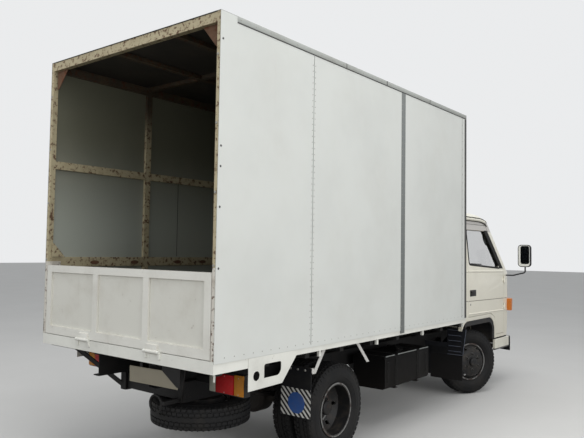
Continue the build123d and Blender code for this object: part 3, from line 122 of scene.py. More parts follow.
@dataclass(frozen=True)
class Patch:
    """Points and the polygons between them, sorted by how many corners they have."""

    points: Array
    faces: tuple[Array, ...]

    def turned(self, matrix: Array) -> "Patch":
        """The patch with its points multiplied by a 3 by 3 matrix."""
        return Patch(self.points @ np.asarray(matrix, float).T, self.faces)

    def moved(self, x: float, y: float, z: float) -> "Patch":
        """The patch shifted along the three axes."""
        return Patch(self.points + np.array([x, y, z]), self.faces)

    def leaned(self, degrees: float, centre: Sequence[float]) -> "Patch":
        """The patch turned about a line along Y.

        Args:
            degrees: How far it turns.
            centre: A point on the line.

        Returns:
            The turned patch.
        """
        angle = math.radians(degrees)
        sine, cosine = math.sin(angle), math.cos(angle)
        turn = np.array([[cosine, 0, sine], [0, 1, 0], [-sine, 0, cosine]])
        return Patch((self.points - centre) @ turn.T + centre, self.faces)

    def flipped(self) -> "Patch":
        """The patch mirrored to the other side of the vehicle, with its faces still outwards."""
        return Patch(self.points * np.array([-1.0, 1.0, 1.0]), tuple(f[:, ::-1] for f in self.faces))

    def repeated(self, places: Array, turns: Array | None = None) -> "Patch":
        """Copies of the patch at many places.

        Args:
            places: Offsets, one row for each copy.
            turns: A 3 by 3 matrix for each copy, or None for no turn.

        Returns:
            One patch with all the copies.
        """
        places = np.asarray(places, float).reshape(-1, 3)
        count = len(places)
        base = np.broadcast_to(self.points, (count, *self.points.shape))
        if turns is not None:
            base = np.einsum("nij,npj->npi", np.asarray(turns, float), base)
        points = (base + places[:, None, :]).reshape(-1, 3)
        shift = (np.arange(count) * len(self.points))[:, None, None]
        return Patch(points, tuple((f[None] + shift).reshape(-1, f.shape[1]) for f in self.faces))


def joined(patches: Sequence[Patch]) -> Patch:
    """All the patches as one, without welding them."""
    offsets = np.cumsum([0] + [len(p.points) for p in patches])
    faces = [f + offset for patch, offset in zip(patches, offsets) for f in patch.faces]
    return Patch(np.concatenate([p.points for p in patches]), tuple(faces))


def skinned(grid: Array, closed: bool = False) -> Patch:
    """A patch over a grid of points, each row of which is a ring.

    Args:
        grid: Points by row and by place in the ring.
        closed: Whether the last row joins the first. If not, a flat cap closes each of them.

    Returns:
        A closed patch.
    """
    rows, columns = grid.shape[:2]
    row, column = np.meshgrid(np.arange(rows if closed else rows - 1), np.arange(columns), indexing="ij")
    next_row, next_column = (row + 1) % rows, (column + 1) % columns
    corners = [row * columns + column, row * columns + next_column, next_row * columns + next_column,
               next_row * columns + column]
    quads = np.stack(corners, -1).reshape(-1, 4)
    caps = np.stack([np.arange(columns)[::-1], np.arange(columns) + (rows - 1) * columns])
    return Patch(grid.reshape(-1, 3), (quads,) if closed else (quads, caps))


def unit(vectors: Array) -> Array:
    """The vectors at a length of 1."""
    return vectors / np.maximum(np.linalg.norm(vectors, axis=-1, keepdims=True), 1e-12)


def towards(axis: Sequence[float], up: Sequence[float] = (0, 0, 1)) -> Array:
    """A turn that takes +Z to the axis and keeps +X as level as it can.

    Args:
        axis: Where +Z goes.
        up: The direction that +X stays square to.

    Returns:
        A 3 by 3 matrix.
    """
    z = unit(np.asarray(axis, float))
    x = np.cross(np.asarray(up, float), z)
    x = np.array([1.0, 0.0, 0.0]) if np.linalg.norm(x) < 1e-6 else unit(x)
    return np.stack([x, np.cross(z, x), z], axis=1)


def rounded_box(low: Sequence[float], high: Sequence[float], radius: float, steps: int) -> Patch:
    """A box with round edges: a ball's points, each moved out to the corner of its own eighth.

    Args:
        low: The lowest corner.
        high: The highest corner.
        radius: The radius of the edges.
        steps: Divisions of each quarter turn.

    Returns:
        A closed patch, whose doubles weld on placing.
    """
    low, high = np.asarray(low, float), np.asarray(high, float)
    half = (high - low) / 2
    radius = min(radius, float(half.min()) * 0.999)
    quarter = np.linspace(0, math.pi / 2, steps + 1)
    turn = np.concatenate([quarter + k * math.pi / 2 for k in range(4)])
    turn_sign = np.repeat([[1, 1], [-1, 1], [-1, -1], [1, -1]], steps + 1, axis=0)
    rise = np.concatenate([quarter - math.pi / 2, quarter])
    rise_sign = np.repeat([-1, 1], steps + 1)
    flat = np.cos(rise)[:, None]
    ball = np.stack([flat * np.cos(turn), flat * np.sin(turn), np.sin(rise)[:, None] + 0 * turn], -1)
    signs = np.broadcast_arrays(turn_sign[None, :, 0], turn_sign[None, :, 1], rise_sign[:, None])
    corner = np.stack(signs, -1)
    return skinned(ball * radius + corner * (half - radius) + (low + high) / 2)


def centred_box(centre: Sequence[float], size: Sequence[float], radius: float, steps: int) -> Patch:
    """A box with round edges about a centre."""
    centre, half = np.asarray(centre, float), np.asarray(size, float) / 2
    return rounded_box(centre - half, centre + half, radius, steps)


def lathe(profile: Sequence[Sequence[float]], segments: int, closed: bool = False) -> Patch:
    """A profile of (height, radius) points turned about Z.

    Args:
        profile: The outline, from the bottom upwards.
        segments: Steps in the full turn.
        closed: Whether the outline's last point joins its first, as a ring's does.

    Returns:
        A patch that ends on the axis, in two flat caps, or in itself.
    """
    outline = np.asarray(profile, float)
    turn = np.arange(segments) * 2 * math.pi / segments
    points = np.stack([outline[:, 1:2] * np.cos(turn), outline[:, 1:2] * np.sin(turn),
                       outline[:, 0:1] + 0 * turn], -1)
    return skinned(points, closed)


def inset(outline: Array, amount: float) -> Array:
    """A closed flat outline moved inwards, each corner along the middle of its two edges' normals.

    Args:
        outline: Corners of the closed outline.
        amount: How far its edges move.

    Returns:
        The moved outline.
    """
    following = np.roll(outline, -1, axis=0)
    ahead = unit(following - outline)
    behind = np.roll(ahead, 1, axis=0)
    area = 0.5 * np.sum(outline[:, 0] * following[:, 1] - following[:, 0] * outline[:, 1])
    spin = 1.0 if area > 0 else -1.0
    normals = [np.stack([-e[:, 1], e[:, 0]], -1) * spin for e in (ahead, behind)]
    middle = unit(normals[0] + normals[1])
    reach = np.clip(np.sum(middle * normals[0], axis=1, keepdims=True), 0.3, 1)
    return outline + middle * amount / reach


def prism(outline: Sequence[Sequence[float]], depth: float, bevel: float) -> Patch:
    """A flat outline in X and Y carried up Z, with its two rims chamfered.

    Args:
        outline: Corners of the closed outline.
        depth: Height of the prism.
        bevel: Width of the chamfer.

    Returns:
        A closed patch.
    """
    flat = np.asarray(outline, float)
    rows = [(inset(flat, bevel), 0.0), (flat, bevel), (flat, depth - bevel), (inset(flat, bevel), depth)]
    return skinned(np.stack([np.column_stack([ring, np.full(len(ring), z)]) for ring, z in rows]))


def smooth_path(points: Sequence[Sequence[float]], count: int) -> Array:
    """A path through the points, as one Catmull-Rom spline.

    Args:
        points: Where the path goes.
        count: How many points to give back.

    Returns:
        The path, evenly stepped in its parameter.
    """
    knots = np.asarray(points, float)
    knots = np.concatenate([[2 * knots[0] - knots[1]], knots, [2 * knots[-1] - knots[-2]]])
    place = np.linspace(0, len(knots) - 3, count)
    index = np.minimum(place.astype(int), len(knots) - 4)
    t = (place - index)[:, None]
    a, b, c, d = (knots[index + k] for k in range(4))
    return 0.5 * (2 * b + (c - a) * t + (2 * a - 5 * b + 4 * c - d) * t ** 2
                  + (3 * b - a - 3 * c + d) * t ** 3)


def pipe(path: Array, radius: float | Array, segments: int = 12, closed: bool = False,
         profile: Array | None = None) -> Patch:
    """A section carried along a path, each ring square to the path.

    Args:
        path: Points of the centre line.
        radius: Radius of the section, one number or one for each point.
        segments: Corners of a round section.
        closed: Whether the path's end joins its start.
        profile: Corners of a section that isn't round, for a radius of 1.

    Returns:
        A tube with flat ends, or a closed loop.
    """
    path = np.asarray(path, float)
    along = np.roll(path, -1, axis=0) - np.roll(path, 1, axis=0) if closed else np.gradient(path, axis=0)
    along = unit(along)
    spread = np.ptp(path, axis=0)
    reference = np.eye(3)[int(np.argmin(spread))]
    across = unit(np.cross(along, reference))
    rise = np.cross(across, along)
    turn = np.arange(segments) * 2 * math.pi / segments
    section = np.stack([np.cos(turn), np.sin(turn)], -1) if profile is None else np.asarray(profile, float)
    size = np.broadcast_to(np.asarray(radius, float).reshape(-1, 1, 1), (len(path), 1, 1))
    spread = section[None, :, 0:1] * across[:, None] + section[None, :, 1:2] * rise[:, None]
    return skinned(path[:, None] + size * spread, closed)


def bead(path: Array, width: float, height: float, closed: bool = False, steps: int = 8) -> Patch:
    """A flattened round section carried along a path.

    Args:
        path: Points of the centre line.
        width: Width of the section.
        height: Height of the section.
        closed: Whether the path's end joins its start.
        steps: Corners of the section.

    Returns:
        The bead.
    """
    turn = np.arange(steps) * 2 * math.pi / steps
    section = np.stack([np.cos(turn) * width / 2, np.sin(turn) * height / 2], -1)
    return pipe(path, 1.0, closed=closed, profile=section)


def dome(radius: float, height: float, segments: int) -> Patch:
    """A rivet's low round head, standing on Z = 0."""
    rise = np.linspace(0, math.pi / 2, 4)
    curve = [(height * math.sin(a), radius * math.cos(a)) for a in rise[:-1]]
    profile = [(-0.001, radius)] + curve + [(height, 0)]
    return lathe(profile, segments)


def hexagon(radius: float, height: float) -> Patch:
    """A nut or bolt head with chamfered corners, standing on Z = 0."""
    return lathe([(-0.001, radius), (height * 0.8, radius), (height, radius * 0.82), (height, 0)], 6)


# Shader maths


class Value:
    """A shader socket, or a plain number, whose sums add Math nodes."""

    def __init__(self, graph: "Graph", source: Any) -> None:
        """Keep the graph and what gives the value."""
        self.graph = graph
        self.source = source

    def _sum(self, operation: str, first: Any, second: Any = 0.0) -> "Value":
        """A Math node on two values."""
        made = self.graph.node("ShaderNodeMath", {"operation": operation}, {0: first, 1: second})
        return Value(self.graph, made.outputs[0])

    def __add__(self, other: Any) -> "Value":
        """Sum."""
        return self._sum("ADD", self, other)

    def __sub__(self, other: Any) -> "Value":
        """Difference."""
        return self._sum("SUBTRACT", self, other)

    def __mul__(self, other: Any) -> "Value":
        """Product."""
        return self._sum("MULTIPLY", self, other)

    def __truediv__(self, other: Any) -> "Value":
        """Quotient."""
        return self._sum("DIVIDE", self, other)

    def __rsub__(self, other: Any) -> "Value":
        """Difference from a plain number."""
        return self._sum("SUBTRACT", other, self)

    def __radd__(self, other: Any) -> "Value":
        """Sum with a plain number."""
        return self._sum("ADD", other, self)

    def __rmul__(self, other: Any) -> "Value":
        """Product with a plain number."""
        return self._sum("MULTIPLY", other, self)

    def __abs__(self) -> "Value":
        """Size without sign."""
        return self._sum("ABSOLUTE", self)

    def at_least(self, other: Any) -> "Value":
        """The larger of two values."""
        return self._sum("MAXIMUM", self, other)

    def over(self, limit: float) -> "Value":
        """1 where the value is above the limit, else 0."""
        return self._sum("GREATER_THAN", self, limit)

    def under(self, limit: float) -> "Value":
        """1 where the value is below the limit, else 0."""
        return self._sum("LESS_THAN", self, limit)

    def wave(self) -> "Value":
        """The sine."""
        return self._sum("SINE", self)

    def cycle(self, period: float) -> "Value":
        """The share of the period that has passed, from 0 to 1."""
        return self._sum("FRACT", self / period)

    def step(self, low: float, high: float) -> "Value":
        """A smooth rise from 0 at low to 1 at high, or a fall where high is the smaller.

        Args:
            low: Where the step starts.
            high: Where it ends.

        Returns:
            A value from 0 to 1.
        """
        ends = {1: low, 2: high, 3: 0.0, 4: 1.0} if low < high else {1: high, 2: low, 3: 1.0, 4: 0.0}
        made = self.graph.node("ShaderNodeMapRange", {"interpolation_type": "SMOOTHSTEP"}, {0: self, **ends})
        return Value(self.graph, made.outputs[0])


class Graph:
    """One material's node tree, with a Principled shader at its end."""

    def __init__(self, name: str) -> None:
        """Start an empty material.

        Args:
            name: Name of the material.
        """
        self.material = bpy.data.materials.new(name)
        self.material.use_nodes = True
        self.tree = self.material.node_tree
        self.tree.nodes.clear()
        coordinates = self.node("ShaderNodeTexCoord", {}, {})
        self.place = coordinates.outputs["Object"]
        split = self.node("ShaderNodeSeparateXYZ", {}, {0: self.place})
        self.x, self.y, self.z = (Value(self, split.outputs[k]) for k in range(3))

    def node(self, kind: str, settings: dict[str, Any], inputs: dict[Any, Any]) -> Any:
        """Add a node.

        Args:
            kind: The node's Blender type.
            settings: Properties, set first.
            inputs: Values or links by socket name or number.

        Returns:
            The new node.
        """
        made = self.tree.nodes.new(kind)
        for key, setting in settings.items():
            setattr(made, key, setting)
        for key, given in inputs.items():
            source = given.source if isinstance(given, Value) else given
            if isinstance(source, bpy.types.NodeSocket):
                self.tree.links.new(source, made.inputs[key])
            else:
                made.inputs[key].default_value = source
        return made

    def stretched(self, x: float, y: float, z: float) -> Any:
        """Object coordinates with each axis scaled."""
        return self.node("ShaderNodeMapping", {"vector_type": "POINT"},
                         {"Vector": self.place, "Scale": (x, y, z)}).outputs[0]

    def noise(self, scale: float, detail: float, rough: float = 0.55, place: Any = None) -> Value:
        """Cloudy noise from 0 to 1.

        Args:
            scale: How many lumps a metre.
            detail: Finer layers.
            rough: Strength of the finer layers.
            place: Coordinates, or None for the object's own.

        Returns:
            The noise value.
        """
        made = self.node("ShaderNodeTexNoise", {}, {"Vector": place or self.place, "Scale": scale,
                                                    "Detail": detail, "Roughness": rough})
        return Value(self, made.outputs[0])

    def mix(self, share: Any, first: Any, second: Any) -> Any:
        """A colour between two colours.

        Args:
            share: 0 for the first colour and 1 for the second.
            first: A colour or socket.
            second: A colour or socket.

        Returns:
            The mixed colour's socket.
        """
        made = self.node("ShaderNodeMix", {"data_type": "RGBA"}, {0: share, 6: first, 7: second})
        return made.outputs[2]

    def bump(self, height: Any, strength: float, distance: float, normal: Any = None) -> Any:
        """A normal tilted by a height.

        Args:
            height: The height value.
            strength: Share of the effect.
            distance: The height in metres that a value of 1 stands for.
            normal: A normal to build on.

        Returns:
            The normal's socket.
        """
        inputs = {"Height": height, "Strength": strength, "Distance": distance}
        if normal is not None:
            inputs["Normal"] = normal
        return self.node("ShaderNodeBump", {}, inputs).outputs[0]

    def edges(self, radius: float) -> Value:
        """A value that rises on sharp edges, from how far a rounded normal leaves the true one."""
        soft = self.node("ShaderNodeBevel", {"samples": 4}, {"Radius": radius}).outputs[0]
        flat = self.node("ShaderNodeNewGeometry", {}, {}).outputs["Normal"]
        made = self.node("ShaderNodeVectorMath", {"operation": "DOT_PRODUCT"}, {0: soft, 1: flat})
        return 1.0 - Value(self, made.outputs["Value"])

    def finish(self, colour: Any, roughness: Any, metallic: Any = 0.0, normal: Any = None,
               **more: Any) -> bpy.types.Material:
        """Close the tree with a Principled shader.

        Args:
            colour: Base colour or socket.
            roughness: Roughness or value.
            metallic: Metallic share or value.
            normal: A normal socket.
            more: Plain numbers for other sockets, with spaces written as underscores.

        Returns:
            The material.
        """
        inputs = {"Base Color": colour, "Roughness": roughness, "Metallic": metallic}
        inputs.update({key.replace("_", " "): value for key, value in more.items()})
        if normal is not None:
            inputs["Normal"] = normal
        shader = self.node("ShaderNodeBsdfPrincipled", {}, inputs)
        self.node("ShaderNodeOutputMaterial", {}, {0: shader.outputs[0]})
        self.material.diffuse_color = colour if isinstance(colour, tuple) else (0.5, 0.5, 0.5, 1)
        return self.material


# Finishes


Zones = tuple[tuple[Callable[[Graph], Value], Colour], ...]


@dataclass(frozen=True)
class Grime:
    """How dirt, rust and wear lie on a surface."""

    dirt: Colour = tint(96, 88, 76)
    dirt_share: float = 0.25
    dirt_scale: float = 3.0
    low_z: float = 0.0
    high_z: float = 0.0
    low_share: float = 0.0
    rust_share: float = 0.0
    rust_scale: float = 9.0
    rust: Colour = tint(112, 62, 36)
    streaks: float = 0.0


@dataclass(frozen=True)
class Paint:
    """Sprayed paint on steel, with faint unevenness, dirt, rust and worn edges."""

    name: str
    colour: Colour
    roughness: float = 0.45
    coat: float = 0.0
    waves: float = 0.0
    edge: Colour | None = None
    edge_share: float = 0.5
    grime: Grime = Grime()
    metallic: float = 0.0
    grain: float = 0.15
    shine: float = 0.5

    def colour_of(self, graph: Graph) -> Any:
        """The clean colour; finishes with zones or patterns replace this."""
        mottled = tuple(min(1.0, c * 0.9) for c in self.colour[:3]) + (1.0,)
        return graph.mix(graph.noise(1.7, 4).step(0.35, 0.75) * 0.6, self.colour, mottled)

    def material(self) -> bpy.types.Material:
        """Layers from the clean colour up: broad dirt, low splash, streaks, edge wear and rust."""
        graph = Graph(self.name)
        grime = self.grime
        colour = self.colour_of(graph)
        rough = Value(graph, self.roughness) + graph.noise(14, 5, 0.6) * 0.12
        cloud = graph.noise(grime.dirt_scale, 6, 0.62)
        dirty = cloud.step(0.42, 0.82) * grime.dirt_share
        if grime.low_share:
            splash = (graph.z + (cloud - 0.5) * 0.35).step(grime.high_z, grime.low_z) * grime.low_share
            dirty = dirty.at_least(splash)
        if grime.streaks:
            run = graph.noise(1.0, 5, 0.65, graph.stretched(26, 26, 0.9))
            dirty = dirty + run.step(0.55, 0.85) * cloud.step(0.3, 0.7) * grime.streaks
        colour = graph.mix(dirty, colour, grime.dirt)
        rough = rough + dirty * 0.25
        if self.edge is not None:
            worn = (graph.edges(0.004) * 2.2 + (graph.noise(30, 4) - 0.62)).step(0.1, 0.45) * self.edge_share
            colour = graph.mix(worn, colour, self.edge)
            rough = rough + worn * 0.15
        if grime.rust_share:
            start = 0.69 - 0.2 * grime.rust_share
            patch = graph.noise(grime.rust_scale, 8, 0.7).step(start, start + 0.09)
            shade = graph.mix(graph.noise(60, 3), grime.rust, tint(66, 40, 28))
            colour = graph.mix(patch * 0.92, colour, shade)
            rough = rough + patch * 0.3
        height = graph.noise(120, 3) * self.grain
        normal = graph.bump(height, 0.35, 0.0006)
        if self.waves:
            normal = graph.bump(graph.noise(1.3, 2, 0.4), self.waves, 0.02, normal)
        return graph.finish(colour, rough, self.metallic, normal, Coat_Weight=self.coat,
                            Specular_IOR_Level=self.shine)


@dataclass(frozen=True)
class ZonedPaint(Paint):
    """Paint whose colour changes in parts of one node, given as masks of place."""

    zones: Zones = ()

    def colour_of(self, graph: Graph) -> Any:
        """The base colour with each zone's colour laid over it in turn."""
        colour = super().colour_of(graph)
        for mask, shade in self.zones:
            colour = graph.mix(mask(graph), colour, shade)
        return colour


@dataclass(frozen=True)
class Rubber:
    """Worn rubber, greyer where dust lies, with fine pitting."""

    name: str
    colour: Colour = tint(15, 15, 16)
    dust: Colour = tint(66, 62, 56)
    dust_share: float = 0.2

    def material(self) -> bpy.types.Material:
        """Dark base, dust in cloudy patches, and two scales of bump."""
        graph = Graph(self.name)
        cloud = graph.noise(7, 6, 0.6)
        dusty = cloud.step(0.4, 0.8) * self.dust_share
        colour = graph.mix(dusty, self.colour, self.dust)
        pits = graph.noise(260, 2) * 0.5 + graph.noise(40, 4) * 0.5
        return graph.finish(colour, 0.66 + dusty * 0.3, 0.0, graph.bump(pits, 0.4, 0.0012),
                            Specular_IOR_Level=0.22)


@dataclass(frozen=True)
class Glass:
    """Thin window glass: mostly see-through, reflecting more at a slant."""

    name: str
    colour: Colour = tint(150, 170, 165)
    clear: float = 0.88

    def material(self) -> bpy.types.Material:
        """A mix of see-through and glossy by Fresnel, with faint dust."""
        graph = Graph(self.name)
        dust = graph.noise(5, 5).step(0.5, 0.8) * 0.08
        return graph.finish(graph.mix(dust, tint(28, 34, 34), self.colour), 0.04 + dust, 0.0,
                            Alpha=1.0 - self.clear, IOR=1.5, Specular_IOR_Level=0.6)


@dataclass(frozen=True)
class Lens:
    """A moulded lamp lens with fine prisms, and zones of other colours along X."""

    name: str
    colour: Colour
    zones: Zones = ()
    pitch: float = 0.009

    def material(self) -> bpy.types.Material:
        """Coloured plastic with a grid of small ridges as bump."""
        graph = Graph(self.name)
        colour: Any = graph.mix(graph.noise(50, 3).step(0.4, 0.8) * 0.35, self.colour,
                                tuple(c * 0.55 for c in self.colour[:3]) + (1.0,))
        for mask, shade in self.zones:
            colour = graph.mix(mask(graph), colour, shade)
        turn = 2 * math.pi / self.pitch
        ridges = (graph.x * turn).wave() * 0.5 + (graph.z * turn).wave() * 0.5
        dirt = graph.noise(9, 5).step(0.45, 0.8) * 0.15
        colour = graph.mix(dirt, colour, tint(70, 58, 48))
        return graph.finish(colour, 0.4 + dirt * 0.4, 0.0, graph.bump(ridges, 0.5, 0.0015),
                            Specular_IOR_Level=0.25)


@dataclass(frozen=True)
class Planks:
    """A worn plywood load floor, laid in sheets across the box."""

    name: str
    colour: Colour = tint(112, 92, 70)
    sheet: float = 1.22

    def material(self) -> bpy.types.Material:
        """Grain stretched along Y, darker joints between sheets and scuffed lanes."""
        graph = Graph(self.name)
        grain = graph.noise(1.0, 8, 0.6, graph.stretched(60, 5, 60))
        colour = graph.mix(grain, self.colour, tint(58, 48, 40))
        joint = (graph.y + 0.992).cycle(self.sheet).step(0.008, 0.003)
        colour = graph.mix(joint, colour, tint(28, 24, 22))
        scuff = graph.noise(3.5, 6, 0.66).step(0.5, 0.75) * 0.6
        colour = graph.mix(scuff, colour, tint(126, 118, 108))
        return graph.finish(colour, 0.7 + scuff * 0.15, 0.0, graph.bump(grain, 0.3, 0.001))


@dataclass(frozen=True)
class Cloth:
    """Woven seat cloth."""

    name: str
    colour: Colour = tint(66, 70, 76)
    weave: float = 0.004

    def material(self) -> bpy.types.Material:
        """Two crossed sets of threads as bump and a soft sheen."""
        graph = Graph(self.name)
        turn = 2 * math.pi / self.weave
        threads = (graph.x * turn).wave() * (graph.y * turn).wave() + (graph.z * turn).wave() * 0.5
        colour = graph.mix(graph.noise(30, 5), self.colour, tint(46, 48, 52))
        return graph.finish(colour, 0.85, 0.0, graph.bump(threads, 0.4, 0.0008), Sheen_Weight=0.25)


def inside_box(graph: Graph) -> Value:
    """1 on the faces of the body's skins that look into the load space."""
    wall = abs(graph.x).under(HALF_WIDTH - SKIN_DEPTH)
    front = graph.y.over(BOX_FRONT + SKIN_DEPTH)
    roof = graph.z.under(ROOF_TOP - SKIN_DEPTH)
    return wall * front * roof


def under_roof(graph: Graph) -> Value:
    """1 on the top rails and bows inside the body, which are painted darker there as shade."""
    return graph.z.step(2.55, 3.02) * graph.y.under(2.74)


def window_band(graph: Graph) -> Value:
    """1 on the doors' and pillars' upper frames, painted greyer there as shade under the gutter."""
    return graph.z.over(1.93) * graph.z.under(2.046) * abs(graph.x).over(0.70)


def window_return(graph: Graph) -> Value:
    """1 on the doors' faces that look into the window opening or the cab."""
    skin_at = 0.841 - (graph.z - 1.42) * 0.1066
    return graph.z.over(1.47) * graph.z.under(1.945) * (skin_at - abs(graph.x)).over(0.0)


def guard_flap(graph: Graph) -> Value:
    """1 on the rubber flaps below the louvred guards."""
    return graph.z.under(0.499)


def stay_sides(graph: Graph) -> Value:
    """1 on the flat stays beside the rear wheels."""
    return abs(graph.x).over(0.9445)


def shade_toward_roof(graph: Graph) -> Value:
    """Rises to 1 towards the roof on the faces that look into the load space: painted shade, darkest under
    the roof.
    """
    return inside_box(graph) * graph.z.step(1.7, 2.7)


def outer_lamps(graph: Graph) -> Value:
    """1 on the two lamps at the cab's corners."""
    return abs(graph.x).over(0.72)


def bumper_trim(graph: Graph) -> Value:
    """1 on the bumper's front face and on its bottom edge."""
    return graph.y.under(-2.712).at_least(graph.z.under(0.478))


def post_foot(graph: Graph) -> Value:
    """1 on the rear posts beside and below the tailgate."""
    return graph.y.over(2.70) * graph.z.under(1.545)


def gate_panels(graph: Graph) -> Value:
    """1 on the recessed panels of the tailgate."""
    return graph.y.under(2.8165)


def flap_stripes(graph: Graph) -> Value:
    """1 on broad diagonal bands that fall towards the vehicle's right."""
    return ((graph.x * -0.72 + graph.z * 0.70) + 4.0).cycle(0.033).under(0.46)


WHITE = tint(206, 208, 203)
CREAM = tint(226, 222, 206)
BLACK = tint(14, 14, 15)
# Painted shade: the white walls' inner faces are grey as if in shade.
INSIDE_WALL_SHADE = tint(160, 164, 154)
# Painted shade: the cream upper frames under the gutter, greyed as if in shade.
SHADED_FRAME_BAND = (window_band, tint(180, 176, 170))
CAB_DIRT = Grime(dirt=tint(160, 146, 120), dirt_share=0.14, low_z=0.55, high_z=1.15, low_share=0.2,
                 streaks=0.06)
RUSTY = Grime(dirt=tint(112, 92, 62), dirt_share=0.45, dirt_scale=9, rust_share=0.86, rust_scale=27,
              streaks=0.2, rust=tint(92, 58, 36))
SPLASHED = Grime(dirt=tint(52, 48, 43), dirt_share=0.25, dirt_scale=5, low_z=0.2, high_z=0.8, low_share=0.25)


